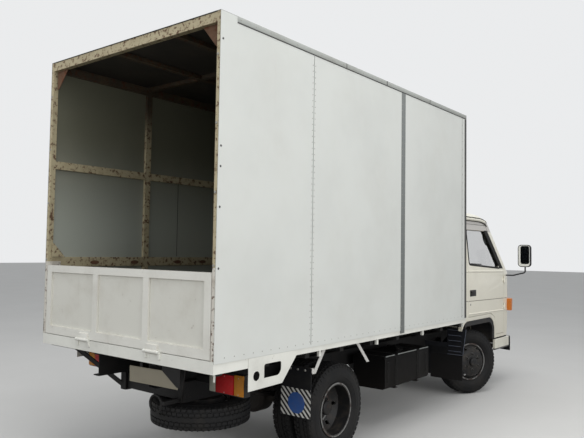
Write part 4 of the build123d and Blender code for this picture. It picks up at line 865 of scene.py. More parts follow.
def make_finishes() -> dict[str, bpy.types.Material]:
    """Every material of the truck, by a short name."""
    makers: dict[str, Any] = {
        # Inside, the walls carry painted shade: grey, and darker towards the roof.
        "skin": ZonedPaint("box_skin", WHITE, 0.46, 0.0, 0.35,
                           zones=((inside_box, INSIDE_WALL_SHADE), (shade_toward_roof, tint(104, 104, 88))),
                           grime=Grime(dirt=tint(168, 160, 144), dirt_share=0.10, dirt_scale=2.0,
                                       streaks=0.05)),
        # The roof's inner face is painted near black as shade.
        "roof": ZonedPaint("roof_skin", tint(176, 178, 174), 0.5, 0.0, 0.3,
                           zones=((inside_box, tint(34, 31, 27)),),
                           grime=Grime(dirt_share=0.35, streaks=0.2)),
        # Under the roof, the beige frame is painted dark brown as shade.
        "beige": ZonedPaint("beige_frame", tint(176, 165, 134), 0.55, grime=RUSTY, edge=tint(92, 56, 36),
                            edge_share=0.6, zones=((post_foot, tint(204, 200, 190)),
                                                   (under_roof, tint(58, 50, 38)))),
        "sill": Paint("white_sill", tint(222, 222, 214), 0.5,
                      grime=Grime(dirt_share=0.22, rust_share=0.28, rust_scale=14, streaks=0.12)),
        "gate": ZonedPaint("chalky_gate", tint(218, 217, 209), 0.62, waves=0.15, edge=tint(150, 120, 90),
                           edge_share=0.4, zones=((gate_panels, tint(208, 207, 198)),),
                           grime=Grime(dirt=tint(150, 140, 122), dirt_share=0.25, dirt_scale=4,
                                       rust_share=0.22, rust_scale=16, streaks=0.2)),
        "crease": Paint("crease_shadow", tint(126, 120, 108), 0.6, grime=Grime(dirt_share=0.2)),
        "bumper": ZonedPaint("cream_bumper", tint(220, 217, 202), 0.32, 0.2,
                             grime=Grime(dirt=tint(140, 126, 102), dirt_share=0.25, dirt_scale=6),
                             zones=((bumper_trim, tint(34, 34, 36)),)),
        "rusty": Paint("rusty_steel", tint(98, 70, 50), 0.8, grain=0.8,
                       grime=Grime(dirt=tint(58, 44, 34), dirt_share=0.8, dirt_scale=12, rust_share=0.8)),
        "striped": ZonedPaint("striped_flap", tint(14, 15, 17), 0.6,
                              zones=((flap_stripes, tint(206, 206, 200)),),
                              grime=Grime(dirt_share=0.45, dirt_scale=12)),
        "strip": Paint("grey_strip", tint(108, 112, 110), 0.5, grime=Grime(dirt_share=0.25, streaks=0.15)),
        "rail": Paint("edge_rail", tint(160, 163, 158), 0.5, grime=Grime(dirt_share=0.25, streaks=0.15)),
        "scuffed": Paint("scuffed_rim", tint(112, 112, 110), 0.5,
                         grime=Grime(rust=tint(24, 24, 24), rust_share=1.1, rust_scale=9)),
        # Painted highlight on the tank's top edges, with some dirt.
        "tank_highlight": Paint("tank_edge", tint(122, 126, 124), 0.5, grime=Grime(dirt_share=0.5, dirt_scale=14)),
        "hanger": ZonedPaint("hanger_paint", BLACK, 0.6, shine=0.25,
                             grime=Grime(dirt_share=0.3, rust_share=0.2),
                             zones=((stay_sides, tint(196, 194, 190)),)),
        "skirt": Paint("white_skirt", tint(220, 220, 212), 0.5, grime=Grime(dirt_share=0.3, rust_share=0.2)),
        "cream": ZonedPaint("cab_cream", CREAM, 0.28, 0.25, zones=(SHADED_FRAME_BAND,), grime=CAB_DIRT),
        "chassis": Paint("chassis_black", BLACK, 0.6, edge=tint(66, 58, 52), edge_share=0.3,
                         grime=SPLASHED, shine=0.25),
        "bearer": Paint("bearer_black", tint(14, 14, 14), 0.65, grime=SPLASHED, shine=0.25),
        "cast": Paint("cast_iron", tint(44, 40, 36), 0.7, metallic=0.3, grain=0.6,
                      grime=Grime(dirt=tint(70, 62, 54), dirt_share=0.5, rust_share=0.4, rust_scale=14)),
        "spring": Paint("spring_steel", tint(24, 22, 21), 0.6, edge=tint(80, 62, 50), edge_share=0.35,
                        grime=SPLASHED, shine=0.25),
        "exhaust": Paint("exhaust_steel", tint(98, 84, 74), 0.55, metallic=0.5,
                         grime=Grime(dirt_share=0.3, rust_share=0.8, rust_scale=12)),
        "tank": Paint("tank_black", tint(7, 7, 8), 0.6, 0.0, edge=tint(110, 112, 110), edge_share=0.5,
                      grime=SPLASHED, shine=0.1),
        "rim": Paint("rim_grey", tint(20, 20, 21), 0.5, edge=tint(128, 126, 122), edge_share=0.9, shine=0.3,
                     grime=Grime(dirt=tint(92, 82, 70), dirt_share=0.35, dirt_scale=12, rust_share=0.25)),
        "bright": Paint("bare_steel", tint(170, 168, 162), 0.35, metallic=0.85,
                        grime=Grime(dirt_share=0.3, dirt_scale=20, rust_share=0.2, rust_scale=30)),
        "chrome": Paint("worn_chrome", tint(196, 198, 198), 0.18, metallic=1.0, grain=0.05,
                        grime=Grime(dirt_share=0.25, dirt_scale=20)),
        "plastic": Paint("black_plastic", tint(21, 21, 23), 0.5, grain=0.5, shine=0.3,
                         grime=Grime(dirt_share=0.2)),
        "door": ZonedPaint("door_cream", CREAM, 0.28, 0.25, grime=CAB_DIRT,
                           zones=(SHADED_FRAME_BAND, (window_return, tint(24, 24, 24)))),
        "trim": Paint("grey_trim", tint(62, 62, 62), 0.6, grain=0.5, grime=Grime(dirt_share=0.3)),
        "guard": ZonedPaint("grey_guard", tint(24, 26, 31), 0.7, edge=tint(84, 90, 100), shine=0.2,
                            grime=SPLASHED, zones=((guard_flap, tint(8, 9, 13)),)),
        # Painted highlight on the guards' louvres and edges.
        "worn": Paint("guard_highlight", tint(92, 98, 112), 0.6, grime=Grime(dirt_share=0.5, dirt_scale=16)),
        "plate": Paint("bare_plate", tint(124, 118, 102), 0.5, grime=Grime(dirt_share=0.35)),
        "cavity": Paint("dark_gap", tint(14, 14, 14), 0.9, grime=Grime(dirt_share=0.1)),
        "rivet": Paint("rivet_head", tint(150, 148, 142), 0.45, metallic=0.5,
                       grime=Grime(dirt_share=0.4, dirt_scale=30)),
        "tyre": Rubber("tyre_rubber"),
        "flap": Rubber("flap_rubber", tint(12, 13, 16), dust_share=0.15),
        "seal": Rubber("window_seal", tint(22, 22, 22), dust_share=0.08),
        "glass": Glass("window_glass"),
        "mirror": Paint("mirror_face", tint(72, 78, 84), 0.05, metallic=1.0, grain=0.0,
                        grime=Grime(dirt_share=0.05)),
        "amber": Lens("amber_lens", tint(182, 118, 30)),
        "red": Lens("red_lens", tint(168, 8, 14)),
        "clear": Lens("clear_lens", tint(168, 170, 156)),
        "front_lens": Lens("front_lens", tint(168, 170, 160), zones=((outer_lamps, tint(196, 112, 44)),)),
        "floor": Planks("load_floor"),
        "cloth": Cloth("seat_cloth"),
        "blue": Paint("blue_disc", tint(34, 76, 140), 0.45, grime=Grime(dirt_share=0.3, dirt_scale=14)),
    }
    return {key: maker.material() for key, maker in makers.items()}


# Placing


@dataclass
class Workshop:
    """Turns patches into Blender pieces that ride on the CAD bodies."""

    finishes: dict[str, bpy.types.Material]
    nodes: dict[str, bpy.types.Object]
    made: int = 0

    def object_of(self, name: str, mesh: bpy.types.Mesh) -> bpy.types.Object:
        """A linked object that holds the mesh."""
        piece = bpy.data.objects.new(name, mesh)
        bpy.context.scene.collection.objects.link(piece)
        return piece

    def place(self, name: str, patches: Sequence[Patch], finish: str, body: str, slot: str,
              replaces: Sequence[str] = (), smooth: float = PLAIN_ANGLE) -> bpy.types.Object:
        """Make one piece from patches.

        Args:
            name: Piece name.
            patches: Its surfaces.
            finish: Short name of its material.
            body: CAD body that it rides on.
            slot: Material slot of the record; not used.
            replaces: CAD nodes that it stands for.
            smooth: Edges under this many degrees are shaded round.

        Returns:
            The new object.
        """
        patch = joined(list(patches))
        mesh = bpy.data.meshes.new(name)
        loops = np.concatenate([f.ravel() for f in patch.faces]).astype(np.int32)
        totals = np.concatenate([np.full(len(f), f.shape[1]) for f in patch.faces]).astype(np.int32)
        starts = np.concatenate([[0], np.cumsum(totals)[:-1]]).astype(np.int32)
        mesh.vertices.add(len(patch.points))
        mesh.vertices.foreach_set("co", patch.points.astype(np.float32).ravel())
        mesh.loops.add(len(loops))
        mesh.loops.foreach_set("vertex_index", loops)
        mesh.polygons.add(len(totals))
        mesh.polygons.foreach_set("loop_start", starts)
        mesh.update(calc_edges=True)
        work = bmesh.new()
        work.from_mesh(mesh)
        bmesh.ops.remove_doubles(work, verts=work.verts, dist=2e-6)
        bmesh.ops.dissolve_degenerate(work, edges=work.edges, dist=1e-6)
        bmesh.ops.recalc_face_normals(work, faces=work.faces)
        work.to_mesh(mesh)
        work.free()
        return self._hand_over(name, mesh, finish, body, replaces, smooth)

    def _hand_over(self, name: str, mesh: bpy.types.Mesh, finish: str, body: str,
                   replaces: Sequence[str], smooth: float, bevel: float = 0.0) -> bpy.types.Object:
        """Give a mesh its object, material, shading, edges and body.

        Args:
            name: Piece name.
            mesh: The finished mesh.
            finish: Short name of its material.
            body: CAD body that it rides on.
            replaces: CAD nodes that it stands for.
            smooth: Edges under this many degrees are shaded round.
            bevel: Width of a Bevel modifier, or 0 for none.

        Returns:
            The new object.
        """
        mesh.materials.clear()
        mesh.materials.append(self.finishes[finish])
        mesh.shade_smooth()
        mesh.set_sharp_from_angle(angle=math.radians(smooth))
        piece = self.object_of(name, mesh)
        if bevel:
            modifier = piece.modifiers.new("edges", "BEVEL")
            modifier.width = bevel
            modifier.segments = 2
            modifier.limit_method = "ANGLE"
            modifier.angle_limit = math.radians(BEVEL_ANGLE)
            modifier.harden_normals = True
        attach(piece, body)
        if replaces:
            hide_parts(*replaces)
        self.made += 1
        LOG.info("%s: %d faces", name, len(mesh.polygons))
        return piece

    def paint(self, finish: str, *nodes: str) -> None:
        """Give CAD nodes that stay as they are their material."""
        for node in nodes:
            slots = self.nodes[node].data.materials
            slots.clear()
            slots.append(self.finishes[finish])

    def ease(self, node: str, finish: str, bevel: float) -> bpy.types.Object:
        """Replace a CAD node by a welded copy of its mesh with eased edges.

        Args:
            node: The CAD node.
            finish: Short name of the material.
            bevel: Width of the edges' rounding.

        Returns:
            The new piece.
        """
        source = self.nodes[node]
        mesh = source.data.copy()
        work = bmesh.new()
        work.from_mesh(mesh)
        bmesh.ops.remove_doubles(work, verts=work.verts, dist=2e-5)
        bmesh.ops.dissolve_limit(work, angle_limit=math.radians(0.6), verts=work.verts, edges=work.edges,
                                 use_dissolve_boundaries=False)
        work.to_mesh(mesh)
        work.free()
        slot = next(row["material_slot"] for row in SLOTS if row["node"] == node)
        return self._hand_over(f"{node}_eased", mesh, finish, source["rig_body"], [node], EASED_ANGLE,
                               bevel)


SLOTS: list[dict[str, str]] = []


# Stage


@dataclass
class Studio:
    """Camera, lamps, world and floor."""

    camera_place: Point = (-3.793, 5.574, 1.658)
    yaw: float = 0.675
    pitch: float = 0.051
    roll: float = 0.015
    lens: float = 38.67
    sensor: float = 36.0

    def camera(self) -> None:
        """The photograph's camera: a turn about Z, a tilt up and a small roll."""
        level = math.cos(self.pitch)
        ahead = np.array([math.sin(self.yaw) * level, -math.cos(self.yaw) * level, math.sin(self.pitch)])
        right = unit(np.cross(ahead, [0, 0, 1]))
        rise = np.cross(right, ahead)
        across = right * math.cos(self.roll) + rise * math.sin(self.roll)
        upward = rise * math.cos(self.roll) - right * math.sin(self.roll)
        data = bpy.data.cameras.new("camera")
        data.lens = self.lens
        data.sensor_width = self.sensor
        data.clip_end = 200
        camera = bpy.data.objects.new("camera", data)
        rows = [[across[k], upward[k], -ahead[k], self.camera_place[k]] for k in range(3)]
        camera.matrix_world = Matrix(rows + [[0, 0, 0, 1]])
        bpy.context.scene.collection.objects.link(camera)
        bpy.context.scene.camera = camera

    def lamp(self, name: str, place: Point, aim: Point, size: float, power: float) -> None:
        """One square area lamp.

        Args:
            name: Lamp name.
            place: Where it stands.
            aim: The point that it faces.
            size: Length of its sides.
            power: Its power in watts.
        """
        data = bpy.data.lights.new(name, "AREA")
        data.size = size
        data.energy = power
        lamp = bpy.data.objects.new(name, data)
        turn = towards(np.asarray(place, float) - np.asarray(aim, float))
        lamp.matrix_world = Matrix([[*turn[k], place[k]] for k in range(3)] + [[0, 0, 0, 1]])
        bpy.context.scene.collection.objects.link(lamp)

    def world(self) -> None:
        """A pale grey sky that lights softly and shows near white behind the truck."""
        world = bpy.data.worlds.new("sky")
        world.use_nodes = True
        tree = world.node_tree
        tree.nodes.clear()
        path = tree.nodes.new("ShaderNodeLightPath")
        light = tree.nodes.new("ShaderNodeBackground")
        light.inputs[0].default_value = (0.93, 0.96, 1.0, 1)
        light.inputs[1].default_value = 0.62
        seen = tree.nodes.new("ShaderNodeBackground")
        seen.inputs[0].default_value = (0.90, 0.91, 0.92, 1)
        seen.inputs[1].default_value = 0.92
        mix = tree.nodes.new("ShaderNodeMixShader")
        out = tree.nodes.new("ShaderNodeOutputWorld")
        seen_by = path.outputs["Is Camera Ray"]
        for kind in ("Is Glossy Ray", "Is Transmission Ray"):
            either = tree.nodes.new("ShaderNodeMath")
            either.operation = "MAXIMUM"
            tree.links.new(seen_by, either.inputs[0])
            tree.links.new(path.outputs[kind], either.inputs[1])
            seen_by = either.outputs[0]
        tree.links.new(seen_by, mix.inputs[0])
        tree.links.new(light.outputs[0], mix.inputs[1])
        tree.links.new(seen.outputs[0], mix.inputs[2])
        tree.links.new(mix.outputs[0], out.inputs[0])
        bpy.context.scene.world = world

    def floor(self) -> None:
        """A wide pale floor under the tyres."""
        graph = Graph("studio_floor")
        shown = graph.mix(graph.noise(0.8, 5), tint(198, 197, 194), tint(188, 187, 184))
        path = graph.node("ShaderNodeLightPath", {}, {})
        seen = Value(graph, path.outputs["Is Camera Ray"])
        for ray in ("Is Glossy Ray", "Is Transmission Ray"):
            seen = seen.at_least(Value(graph, path.outputs[ray]))
        colour = graph.mix(seen, tint(70, 66, 61), shown)
        material = graph.finish(colour, 0.9, 0.0, graph.bump(graph.noise(60, 4), 0.2, 0.002))
        mesh = bpy.data.meshes.new("floor")
        reach = 60.0
        mesh.from_pydata([(-reach, -reach, 0), (reach, -reach, 0), (reach, reach, 0), (-reach, reach, 0)], [],
                         [(0, 1, 2, 3)])
        mesh.materials.append(material)
        floor = bpy.data.objects.new("floor", mesh)
        bpy.context.scene.collection.objects.link(floor)

    def build(self) -> None:
        """Set up everything that isn't the truck."""
        self.camera()
        self.world()
        self.floor()
        self.lamp("overhead", (-2.0, 2.0, 9.0), (0, 0, 1), 7.0, 520)
        self.lamp("right_fill", (-9.0, 3.0, 3.6), (0, 0.5, 1.2), 6.0, 350)
        self.lamp("low_fill", (-7.5, 7.5, 1.1), (0, 1.0, 0.9), 4.0, 125)
        self.lamp("rear_fill", (1.5, 10.5, 4.0), (0, 2, 1.2), 5.0, 200)


# Wheels


@dataclass
class Wheels:
    """Tyres with real tread, and the nuts, rings and lips on the rims."""

    shop: Workshop
    radius: float = TYRE_RADIUS
    half: float = 0.0915
    groove: float = 0.009
    pitches: int = 54

    def crown(self, across: Array) -> Array:
        """Radius of the tread's top at a distance from the middle."""
        side = np.abs(across) / (self.half - 0.021)
        return self.radius - 0.0004 - 0.0052 * side ** 2.2

    def wrapped(self, flat: Patch) -> Patch:
        """Take a flat patch of (along, across, height) round the tyre's X axis.

        Args:
            flat: The patch, with its heights over the tyre's crown.

        Returns:
            The patch bent round the tyre.
        """
        along, across, height = flat.points.T
        angle = along / self.radius
        reach = self.crown(across) + height
        points = np.stack([across, reach * np.cos(angle), reach * np.sin(angle)], -1)
        return Patch(points, flat.faces)

    def blocks(self) -> Patch:
        """Every tread block: a zigzag middle rib, two rows beside it and open shoulders."""
        pitch = 2 * math.pi * self.radius / self.pitches
        middle = [(-0.5, -0.013), (0.0, -0.019), (0.5, -0.013), (0.5, 0.019), (0.0, 0.013), (-0.5, 0.019)]
        inner = [(-0.44, 0.026), (0.34, 0.021), (0.46, 0.034), (0.42, 0.046), (-0.34, 0.046), (-0.46, 0.036)]
        outer = [(-0.38, 0.053), (0.38, 0.053), (0.40, 0.071), (0.34, 0.0745), (-0.34, 0.0745),
                 (-0.42, 0.071)]
        rows = [(middle, 1, 0.0, 0.0002), (inner, 1, 0.0, 0.0016), (inner, -1, 0.5, 0.0016),
                (outer, 1, 0.35, 0.002), (outer, -1, 0.85, 0.002)]
        made = []
        for outline, side, shift, bevel in rows:
            corners = np.array([((s + shift) * pitch, x * side) for s, x in outline])
            block = prism(corners, self.groove + 0.001, bevel).moved(0, 0, -self.groove - 0.001)
            places = np.column_stack([np.arange(self.pitches) * pitch, np.zeros((self.pitches, 2))])
            made.append(block.repeated(places))
        return self.wrapped(joined(made))

    def carcass(self) -> Patch:
        """The tyre under its tread, with moulded rings on both sidewalls."""
        right = [(0.0657, 0.2045), (0.0657, 0.2185), (0.0700, 0.2240), (0.0712, 0.2285), (0.0745, 0.2315),
                 (0.0805, 0.2400), (0.0872, 0.2600), (0.0880, 0.2625), (0.0904, 0.2650), (0.0912, 0.2880),
                 (0.0905, 0.3080), (0.0896, 0.3105), (0.0878, 0.3125), (0.0868, 0.3210), (0.0836, 0.3330),
                 (0.0822, 0.3400), (0.0790, 0.3490), (0.0735, 0.3585), (0.0690, 0.3640), (0.0400, 0.3680),
                 (0.0, 0.3685)]
        left = [(-x, r) for x, r in reversed(right[:-1])]
        return lathe(right + left, 96, closed=True).turned(towards((1, 0, 0)))

    def lugs(self) -> Patch:
        """Short radial bars where the shoulder meets the sidewall."""
        bar = centred_box((0.0808, 0, 0.3475), (0.006, 0.0125, 0.024), 0.0022, 1)
        bar = bar.leaned(-17, (0.0808, 0, 0.3475))
        bars = [bar, bar.flipped()]
        angles = np.arange(self.pitches) * 2 * math.pi / self.pitches
        turns = np.stack([np.array([[1, 0, 0], [0, math.cos(a), -math.sin(a)], [0, math.sin(a), math.cos(a)]])
                          for a in angles])
        return joined(bars).repeated(np.zeros((self.pitches, 3)), turns)

    def tyre(self) -> Patch:
        """One tyre about the X axis."""
        return joined([self.carcass(), self.blocks(), self.lugs()])

    def nuts(self, face: float, ring: float) -> list[Patch]:
        """Six wheel nuts with their stud ends, standing on a disc.

        Args:
            face: X of the disc's face.
            ring: Radius of the bolt circle.

        Returns:
            The nuts.
        """
        nut = joined([hexagon(0.0155, 0.015), lathe([(0, 0.0195), (0.003, 0.0185), (0.003, 0)], 16),
                      lathe([(0.01, 0.0078), (0.026, 0.0078), (0.028, 0.0062), (0.028, 0)], 10)])
        nut = nut.turned(towards((1, 0, 0)))
        angles = (np.arange(6) + 0.5) * math.pi / 3
        places = np.column_stack([np.full(6, face), ring * np.cos(angles), ring * np.sin(angles)])
        return [nut.repeated(places)]

    def dress(self, piece: str, node: str, body: str, patches: Sequence[Patch], finish: str, slot: str,
              side: float, centre: Point, turn: float) -> None:
        """Place wheel patches that were made about the X axis with their outer side at +X.

        Args:
            piece: Name of the new piece.
            node: CAD node that it replaces, or an empty word for none.
            body: CAD body that it rides on.
            patches: The patches.
            finish: Short name of the material.
            slot: Material slot of the record; passed on to the workshop, which does not use it.
            side: 1 for the vehicle's left and -1 for its right.
            centre: Where the wheel's middle is.
            turn: Turn about Z, in degrees.
        """
        angle = math.radians(turn)
        spin = np.array([[math.cos(angle), -math.sin(angle), 0], [math.sin(angle), math.cos(angle), 0],
                         [0, 0, 1]])
        placed = [(p if side > 0 else p.flipped()).turned(spin).moved(*centre) for p in patches]
        self.shop.place(piece, placed, finish, body, slot, [node] if node else [], smooth=WHEEL_ANGLE)

    def pair(self, sign: float, word: str, tyre: Patch) -> None:
        """Dress a side's front wheel, which stands steered, and its two rear wheels.

        Args:
            sign: 1 for the vehicle's left and -1 for its right.
            word: The side's name.
            tyre: One tyre about the X axis.
        """
        ahead, reach = math.radians(PARKED_TURN), KINGPIN_REACH * sign
        front = (KINGPIN_X * sign + reach * math.cos(ahead), FRONT_AXLE_Y + reach * math.sin(ahead),
                 TYRE_RADIUS)
        rear = (0.0, REAR_AXLE_Y, TYRE_RADIUS)
        outwards = towards((1, 0, 0))
        hub = lathe([(0.1065, 0.074), (0.112, 0.073), (0.1135, 0.066), (0.1135, 0.046)], 48).turned(outwards)
        lip = lathe([(0.0741, 0.2155), (0.0752, 0.2150), (0.0756, 0.2100), (0.0752, 0.2050),
                     (0.0741, 0.2045)], 96, closed=True).turned(outwards)
        band = lathe([(0.6935, 0.138), (0.6965, 0.137), (0.6975, 0.134), (0.6975, 0.124), (0.6960, 0.120),
                      (0.6935, 0.119)], 64, closed=True).turned(outwards)
        twins = [tyre.moved(TWIN_OUTER_X, 0, 0), tyre.moved(TWIN_INNER_X, 0, 0)]
        ends = (("front", f"wheel_front_{word}", front, PARKED_TURN, f"front_rim_{word}",
                 (("tread", f"front_tyre_{word}", [tyre], "tyre"),
                  ("nuts", "", self.nuts(0.1075, 0.094), "rim"),
                  ("hub_ring", "", [hub], "rim"), ("lip", "", [lip], "scuffed"))),
                ("rear", f"wheels_rear_{word}", rear, 0.0, f"rear_rims_{word}",
                 (("treads", f"rear_tyres_{word}", twins, "tyre"),
                  ("nuts", "", self.nuts(0.694, 0.098), "rim"),
                  ("lip", "", [lip.moved(TWIN_OUTER_X, 0, 0)], "scuffed"), ("ring", "", [band], "scuffed"))))
        for end, body, centre, turn, rim, parts in ends:
            for key, node, patches, finish in parts:
                slot = "tyre_rubber" if finish == "tyre" else "rim_paint"
                self.dress(f"{end}_{key}_{word}", node, body, patches, finish, slot, sign, centre, turn)
            self.shop.ease(rim, "rim", 0.0015)

    def spare(self, tyre: Patch) -> None:
        """The spare wheel, lying flat under the load floor.

        Args:
            tyre: One tyre about the X axis.
        """
        flat = tyre.turned(towards((0, 0, 1)) @ np.array([[0, 0, 1.0], [0, 1, 0], [-1, 0, 0]]))
        centre = (-0.25, at(0.598), 0.4615)
        self.shop.place("spare_tread", [flat.moved(*centre)], "tyre", "chassis", "tyre_rubber",
                        ["spare_wheel"], smooth=WHEEL_ANGLE)
        rim = lathe([(-0.074, 0.1977), (-0.074, 0.216), (-0.066, 0.216), (-0.066, 0.2037), (0.066, 0.2037),
                     (0.066, 0.216), (0.074, 0.216), (0.074, 0.1977)], 64, closed=True)
        disc = lathe([(0.047, 0.198), (0.056, 0.198), (0.0915, 0.164), (0.0915, 0.066), (0.0835, 0.066),
                      (0.0835, 0.158)], 64, closed=True)
        self.shop.place("spare_rim", [rim.moved(*centre), disc.moved(*centre)], "rim", "chassis", "rim_paint")

    def build(self) -> None:
        """The two front wheels, the four rear ones and the spare."""
        tyre = self.tyre()
        for sign, word in NAMED_SIDES:
            self.pair(sign, word, tyre)
        self.spare(tyre)


# Box body


@dataclass
class BoxTrim:
    """Seams, rivets, rails and worn marks of the box body."""

    shop: Workshop

    def rivets(self, places: Array, axis: Point, radius: float = 0.0048) -> Patch:
        """Round rivet heads at places, standing out along an axis."""
        return dome(radius, radius * 0.45, 8).turned(towards(axis)).repeated(places)

    def column(self, x: float, y: float, low: float, high: float, pitch: float) -> Array:
        """Places up a vertical line."""
        heights = np.arange(low, high, pitch)
        return np.column_stack([np.full(len(heights), x), np.full(len(heights), y), heights])

    def row(self, x: float, z: float, rear: float, front: float, pitch: float) -> Array:
        """Places along a level line from the rear to the front."""
        along = np.arange(front, rear, pitch)
        return np.column_stack([np.full(len(along), x), along, np.full(len(along), z)])

    def slab(self, sign: float, skin: Sequence[float], along: Sequence[float], up: Sequence[float],
             radius: float, steps: int = 1) -> Patch:
        """A plate on the face of a long wall.

        Args:
            sign: 1 for the vehicle's left and -1 for its right.
            skin: How far its inner and outer faces stand out from the wall.
            along: Its span of Y.
            up: Its span of Z.
            radius: The radius of its edges.
            steps: Divisions of each quarter turn.

        Returns:
            The plate.
        """
        inner, outer = sorted(HALF_WIDTH * sign + reach * sign for reach in skin)
        return rounded_box((inner, along[0], up[0]), (outer, along[1], up[1]), radius, steps)

    def walls(self) -> None:
        """Outer seams, the grey strip, edge rails and corner strips on both long walls."""
        strip_top = 3.136
        to_front = (BOX_FRONT + 0.001, RAIL_REAR)
        corner_span = (BOX_FRONT + 0.001, BOX_FRONT + 0.046)
        rail_skin = (-0.002, 0.0035)
        joint_span = (RAIL_FOOT - 0.0005, RAIL_TOP + 0.001)
        for sign, word in NAMED_SIDES:
            seams = [self.slab(sign, (0, 0.0009), (y, y + 0.0035), (WALL_FOOT, strip_top), 0.0003)
                     for y in (1.8232, -0.8820)]
            strip = self.slab(sign, (-0.0048, 0.0028), (0.400, 0.472), (0.926, strip_top), 0.001, 2)
            rail = self.slab(sign, rail_skin, to_front, (3.145, RAIL_TOP), 0.0025, 2)
            line = [self.slab(sign, rail_skin, to_front, (RAIL_FOOT, 3.1445), 0.0015)]
            line += [self.slab(sign, (0, 0.0042), (y, y + reach), joint_span, 0.001)
                     for y, reach in ((-0.105, 0.012), (0.738, 0.014), (1.386, 0.010))]
            corner = self.slab(sign, (0, 0.0028), corner_span, (0.962, 3.134), 0.001)
            for key, patches, finish in (("wall_seams", seams, "cavity"), ("wall_strip", [strip], "strip"),
                                         ("edge_rail", [rail], "rail"), ("rail_line", line, "trim"),
                                         ("corner_strip", [corner], "trim")):
                self.shop.place(f"{key}_{word}", patches, finish, "chassis", "box_white")

    def wall_rivets(self) -> None:
        """Rivets beside the seams, on the grey strip and on the edge rail, and the rear posts' screws."""
        span = (RIVETS_FROM, RIVETS_TO)
        for sign, word in NAMED_SIDES:
            x = HALF_WIDTH * sign
            out = (sign, 0.0, 0.0)
            rows = [self.column(x, 1.809, *span, 0.045), self.column(x, 1.840, *span, 0.045),
                    self.column(x, -0.895, *span, 0.09), self.row(x, 0.982, 2.76, BOX_FRONT + 0.03, 0.09)]
            on_strip = [self.column(x + 0.0028 * sign, y, *span, 0.06) for y in (0.411, 0.459)]
            on_rail = self.row(x + 0.0035 * sign, 3.163, 2.64, BOX_FRONT + 0.03, 0.15)
            heads = [self.rivets(np.concatenate(rows), out, 0.0042),
                     self.rivets(np.concatenate(on_strip), out, 0.005), self.rivets(on_rail, out)]
            self.shop.place(f"wall_rivets_{word}", heads, "rivet", "chassis", "box_white")
            screws = np.array([[x, 2.796, z] for z in (1.542, 1.928, 2.185, 2.315, 3.001)])
            self.shop.place(f"post_screws_{word}", [self.rivets(screws, out, 0.008)], "trim", "chassis",
                            "box_white")

    def front(self) -> None:
        """Corner strips, middle strips and rivets of the front wall."""
        y = BOX_FRONT
        middles = (-0.33, 0.33)
        strips = [rounded_box((x - 0.012, y - 0.0025, 0.97), (x + 0.012, y, 3.17), 0.001, 1)
                  for x in (0.975, -0.975)]
        strips.append(rounded_box((-0.96, y - 0.0025, 3.12), (0.96, y, 3.17), 0.001, 1))
        strips += [rounded_box((x - 0.02, y - 0.002, 0.98), (x + 0.02, y, 3.12), 0.001, 1) for x in middles]
        self.shop.place("front_strips", strips, "strip", "chassis", "box_white")
        places = [self.column(x, y - 0.002, 1.0, 3.1, 0.07) for x in middles]
        self.shop.place("front_rivets", [self.rivets(np.concatenate(places), (0, -1, 0))], "rivet", "chassis",
                        "box_white")

    def roof(self) -> None:
        """Cross seams on the roof."""
        z = ROOF_TOP - 0.0006
        seams = [rounded_box((-0.95, y - 0.012, z - 0.001), (0.95, y + 0.012, z + 0.0005), 0.0004, 1)
                 for y in (1.825, 0.477, -0.6)]
        self.shop.place("roof_seams", seams, "strip", "chassis", "roof_skin")

    def inside(self) -> None:
        """Rusty corner gussets, oval wear marks on the lashing rails and seams in the lining."""
        corners = [(0.0, 0.0), (-0.15, 0.0), (-0.02, -0.15), (0.0, -0.15)]
        plates = []
        for sign in SIDES:
            outline = [(x * sign + 0.9425 * sign, z) for x, z in corners]
            top = prism(outline, 0.005, 0.0008).turned(FACING_REAR)
            plates.append(top.moved(0, 2.789, 3.112))
            low = prism([(x, -z) for x, z in outline], 0.005, 0.0008).turned(FACING_REAR)
            plates.append(low.moved(0, 2.789, WALL_FOOT))
        self.shop.place("corner_gussets", plates, "rusty", "chassis", "frame_beige")
        foot = prism([(2.789, 1.582), (2.789, 1.693), (2.776, 1.693), (2.676, 1.582)], 0.005, 0.0008)
        foot = foot.turned(np.array([[0, 0, 1.0], [1, 0, 0], [0, 1, 0]])).moved(0.9360, 0, 0)
        self.shop.place("foot_gussets", [foot, foot.flipped()], "beige", "chassis", "frame_beige")
        marks = []
        for sign in SIDES:
            for y in (-0.435, -0.857, -1.373, -1.707):
                oval = lathe([(-0.0005, 1.0), (0.0006, 0.99), (0.0006, 0)], 24)
                shape = oval.turned(np.diag([0.017, 0.044, 1.0]))
                marks.append(shape.turned(towards((-sign, 0, 0), (0, 1, 0)))
                             .moved(0.9435 * sign, BOX_REAR + y, 1.535))
        self.shop.place("rail_marks", marks, "rusty", "chassis", "frame_beige")
        lines = [centred_box((0.941 * sign, 1.464, 1.945), (0.003, 0.003, 0.71), 0.0004, 1) for sign in SIDES]
        self.shop.place("lining_seams", lines, "cavity", "chassis", "box_white")

    def rear(self) -> None:
        """The header's dark top line and the bolts on the rear posts."""
        line = [rounded_box((-0.955, 2.8165, 3.1765), (0.955, 2.8215, 3.1825), 0.001, 1)]
        self.shop.place("header_seal", line, "seal", "chassis", "black_plastic")
        caps = []
        for sign in SIDES:
            for z in (1.56, 2.02, 2.46, 2.9):
                caps.append(hexagon(0.009, 0.005).turned(towards((0, 1, 0))).moved(0.968 * sign, 2.818, z))
        self.shop.place("post_bolts", caps, "rivet", "chassis", "frame_beige")

    def build(self) -> None:
        """All of the box body's small parts."""
        self.walls()
        self.wall_rivets()
        self.front()
        self.roof()
        self.inside()
        self.rear()


# Rear hardware


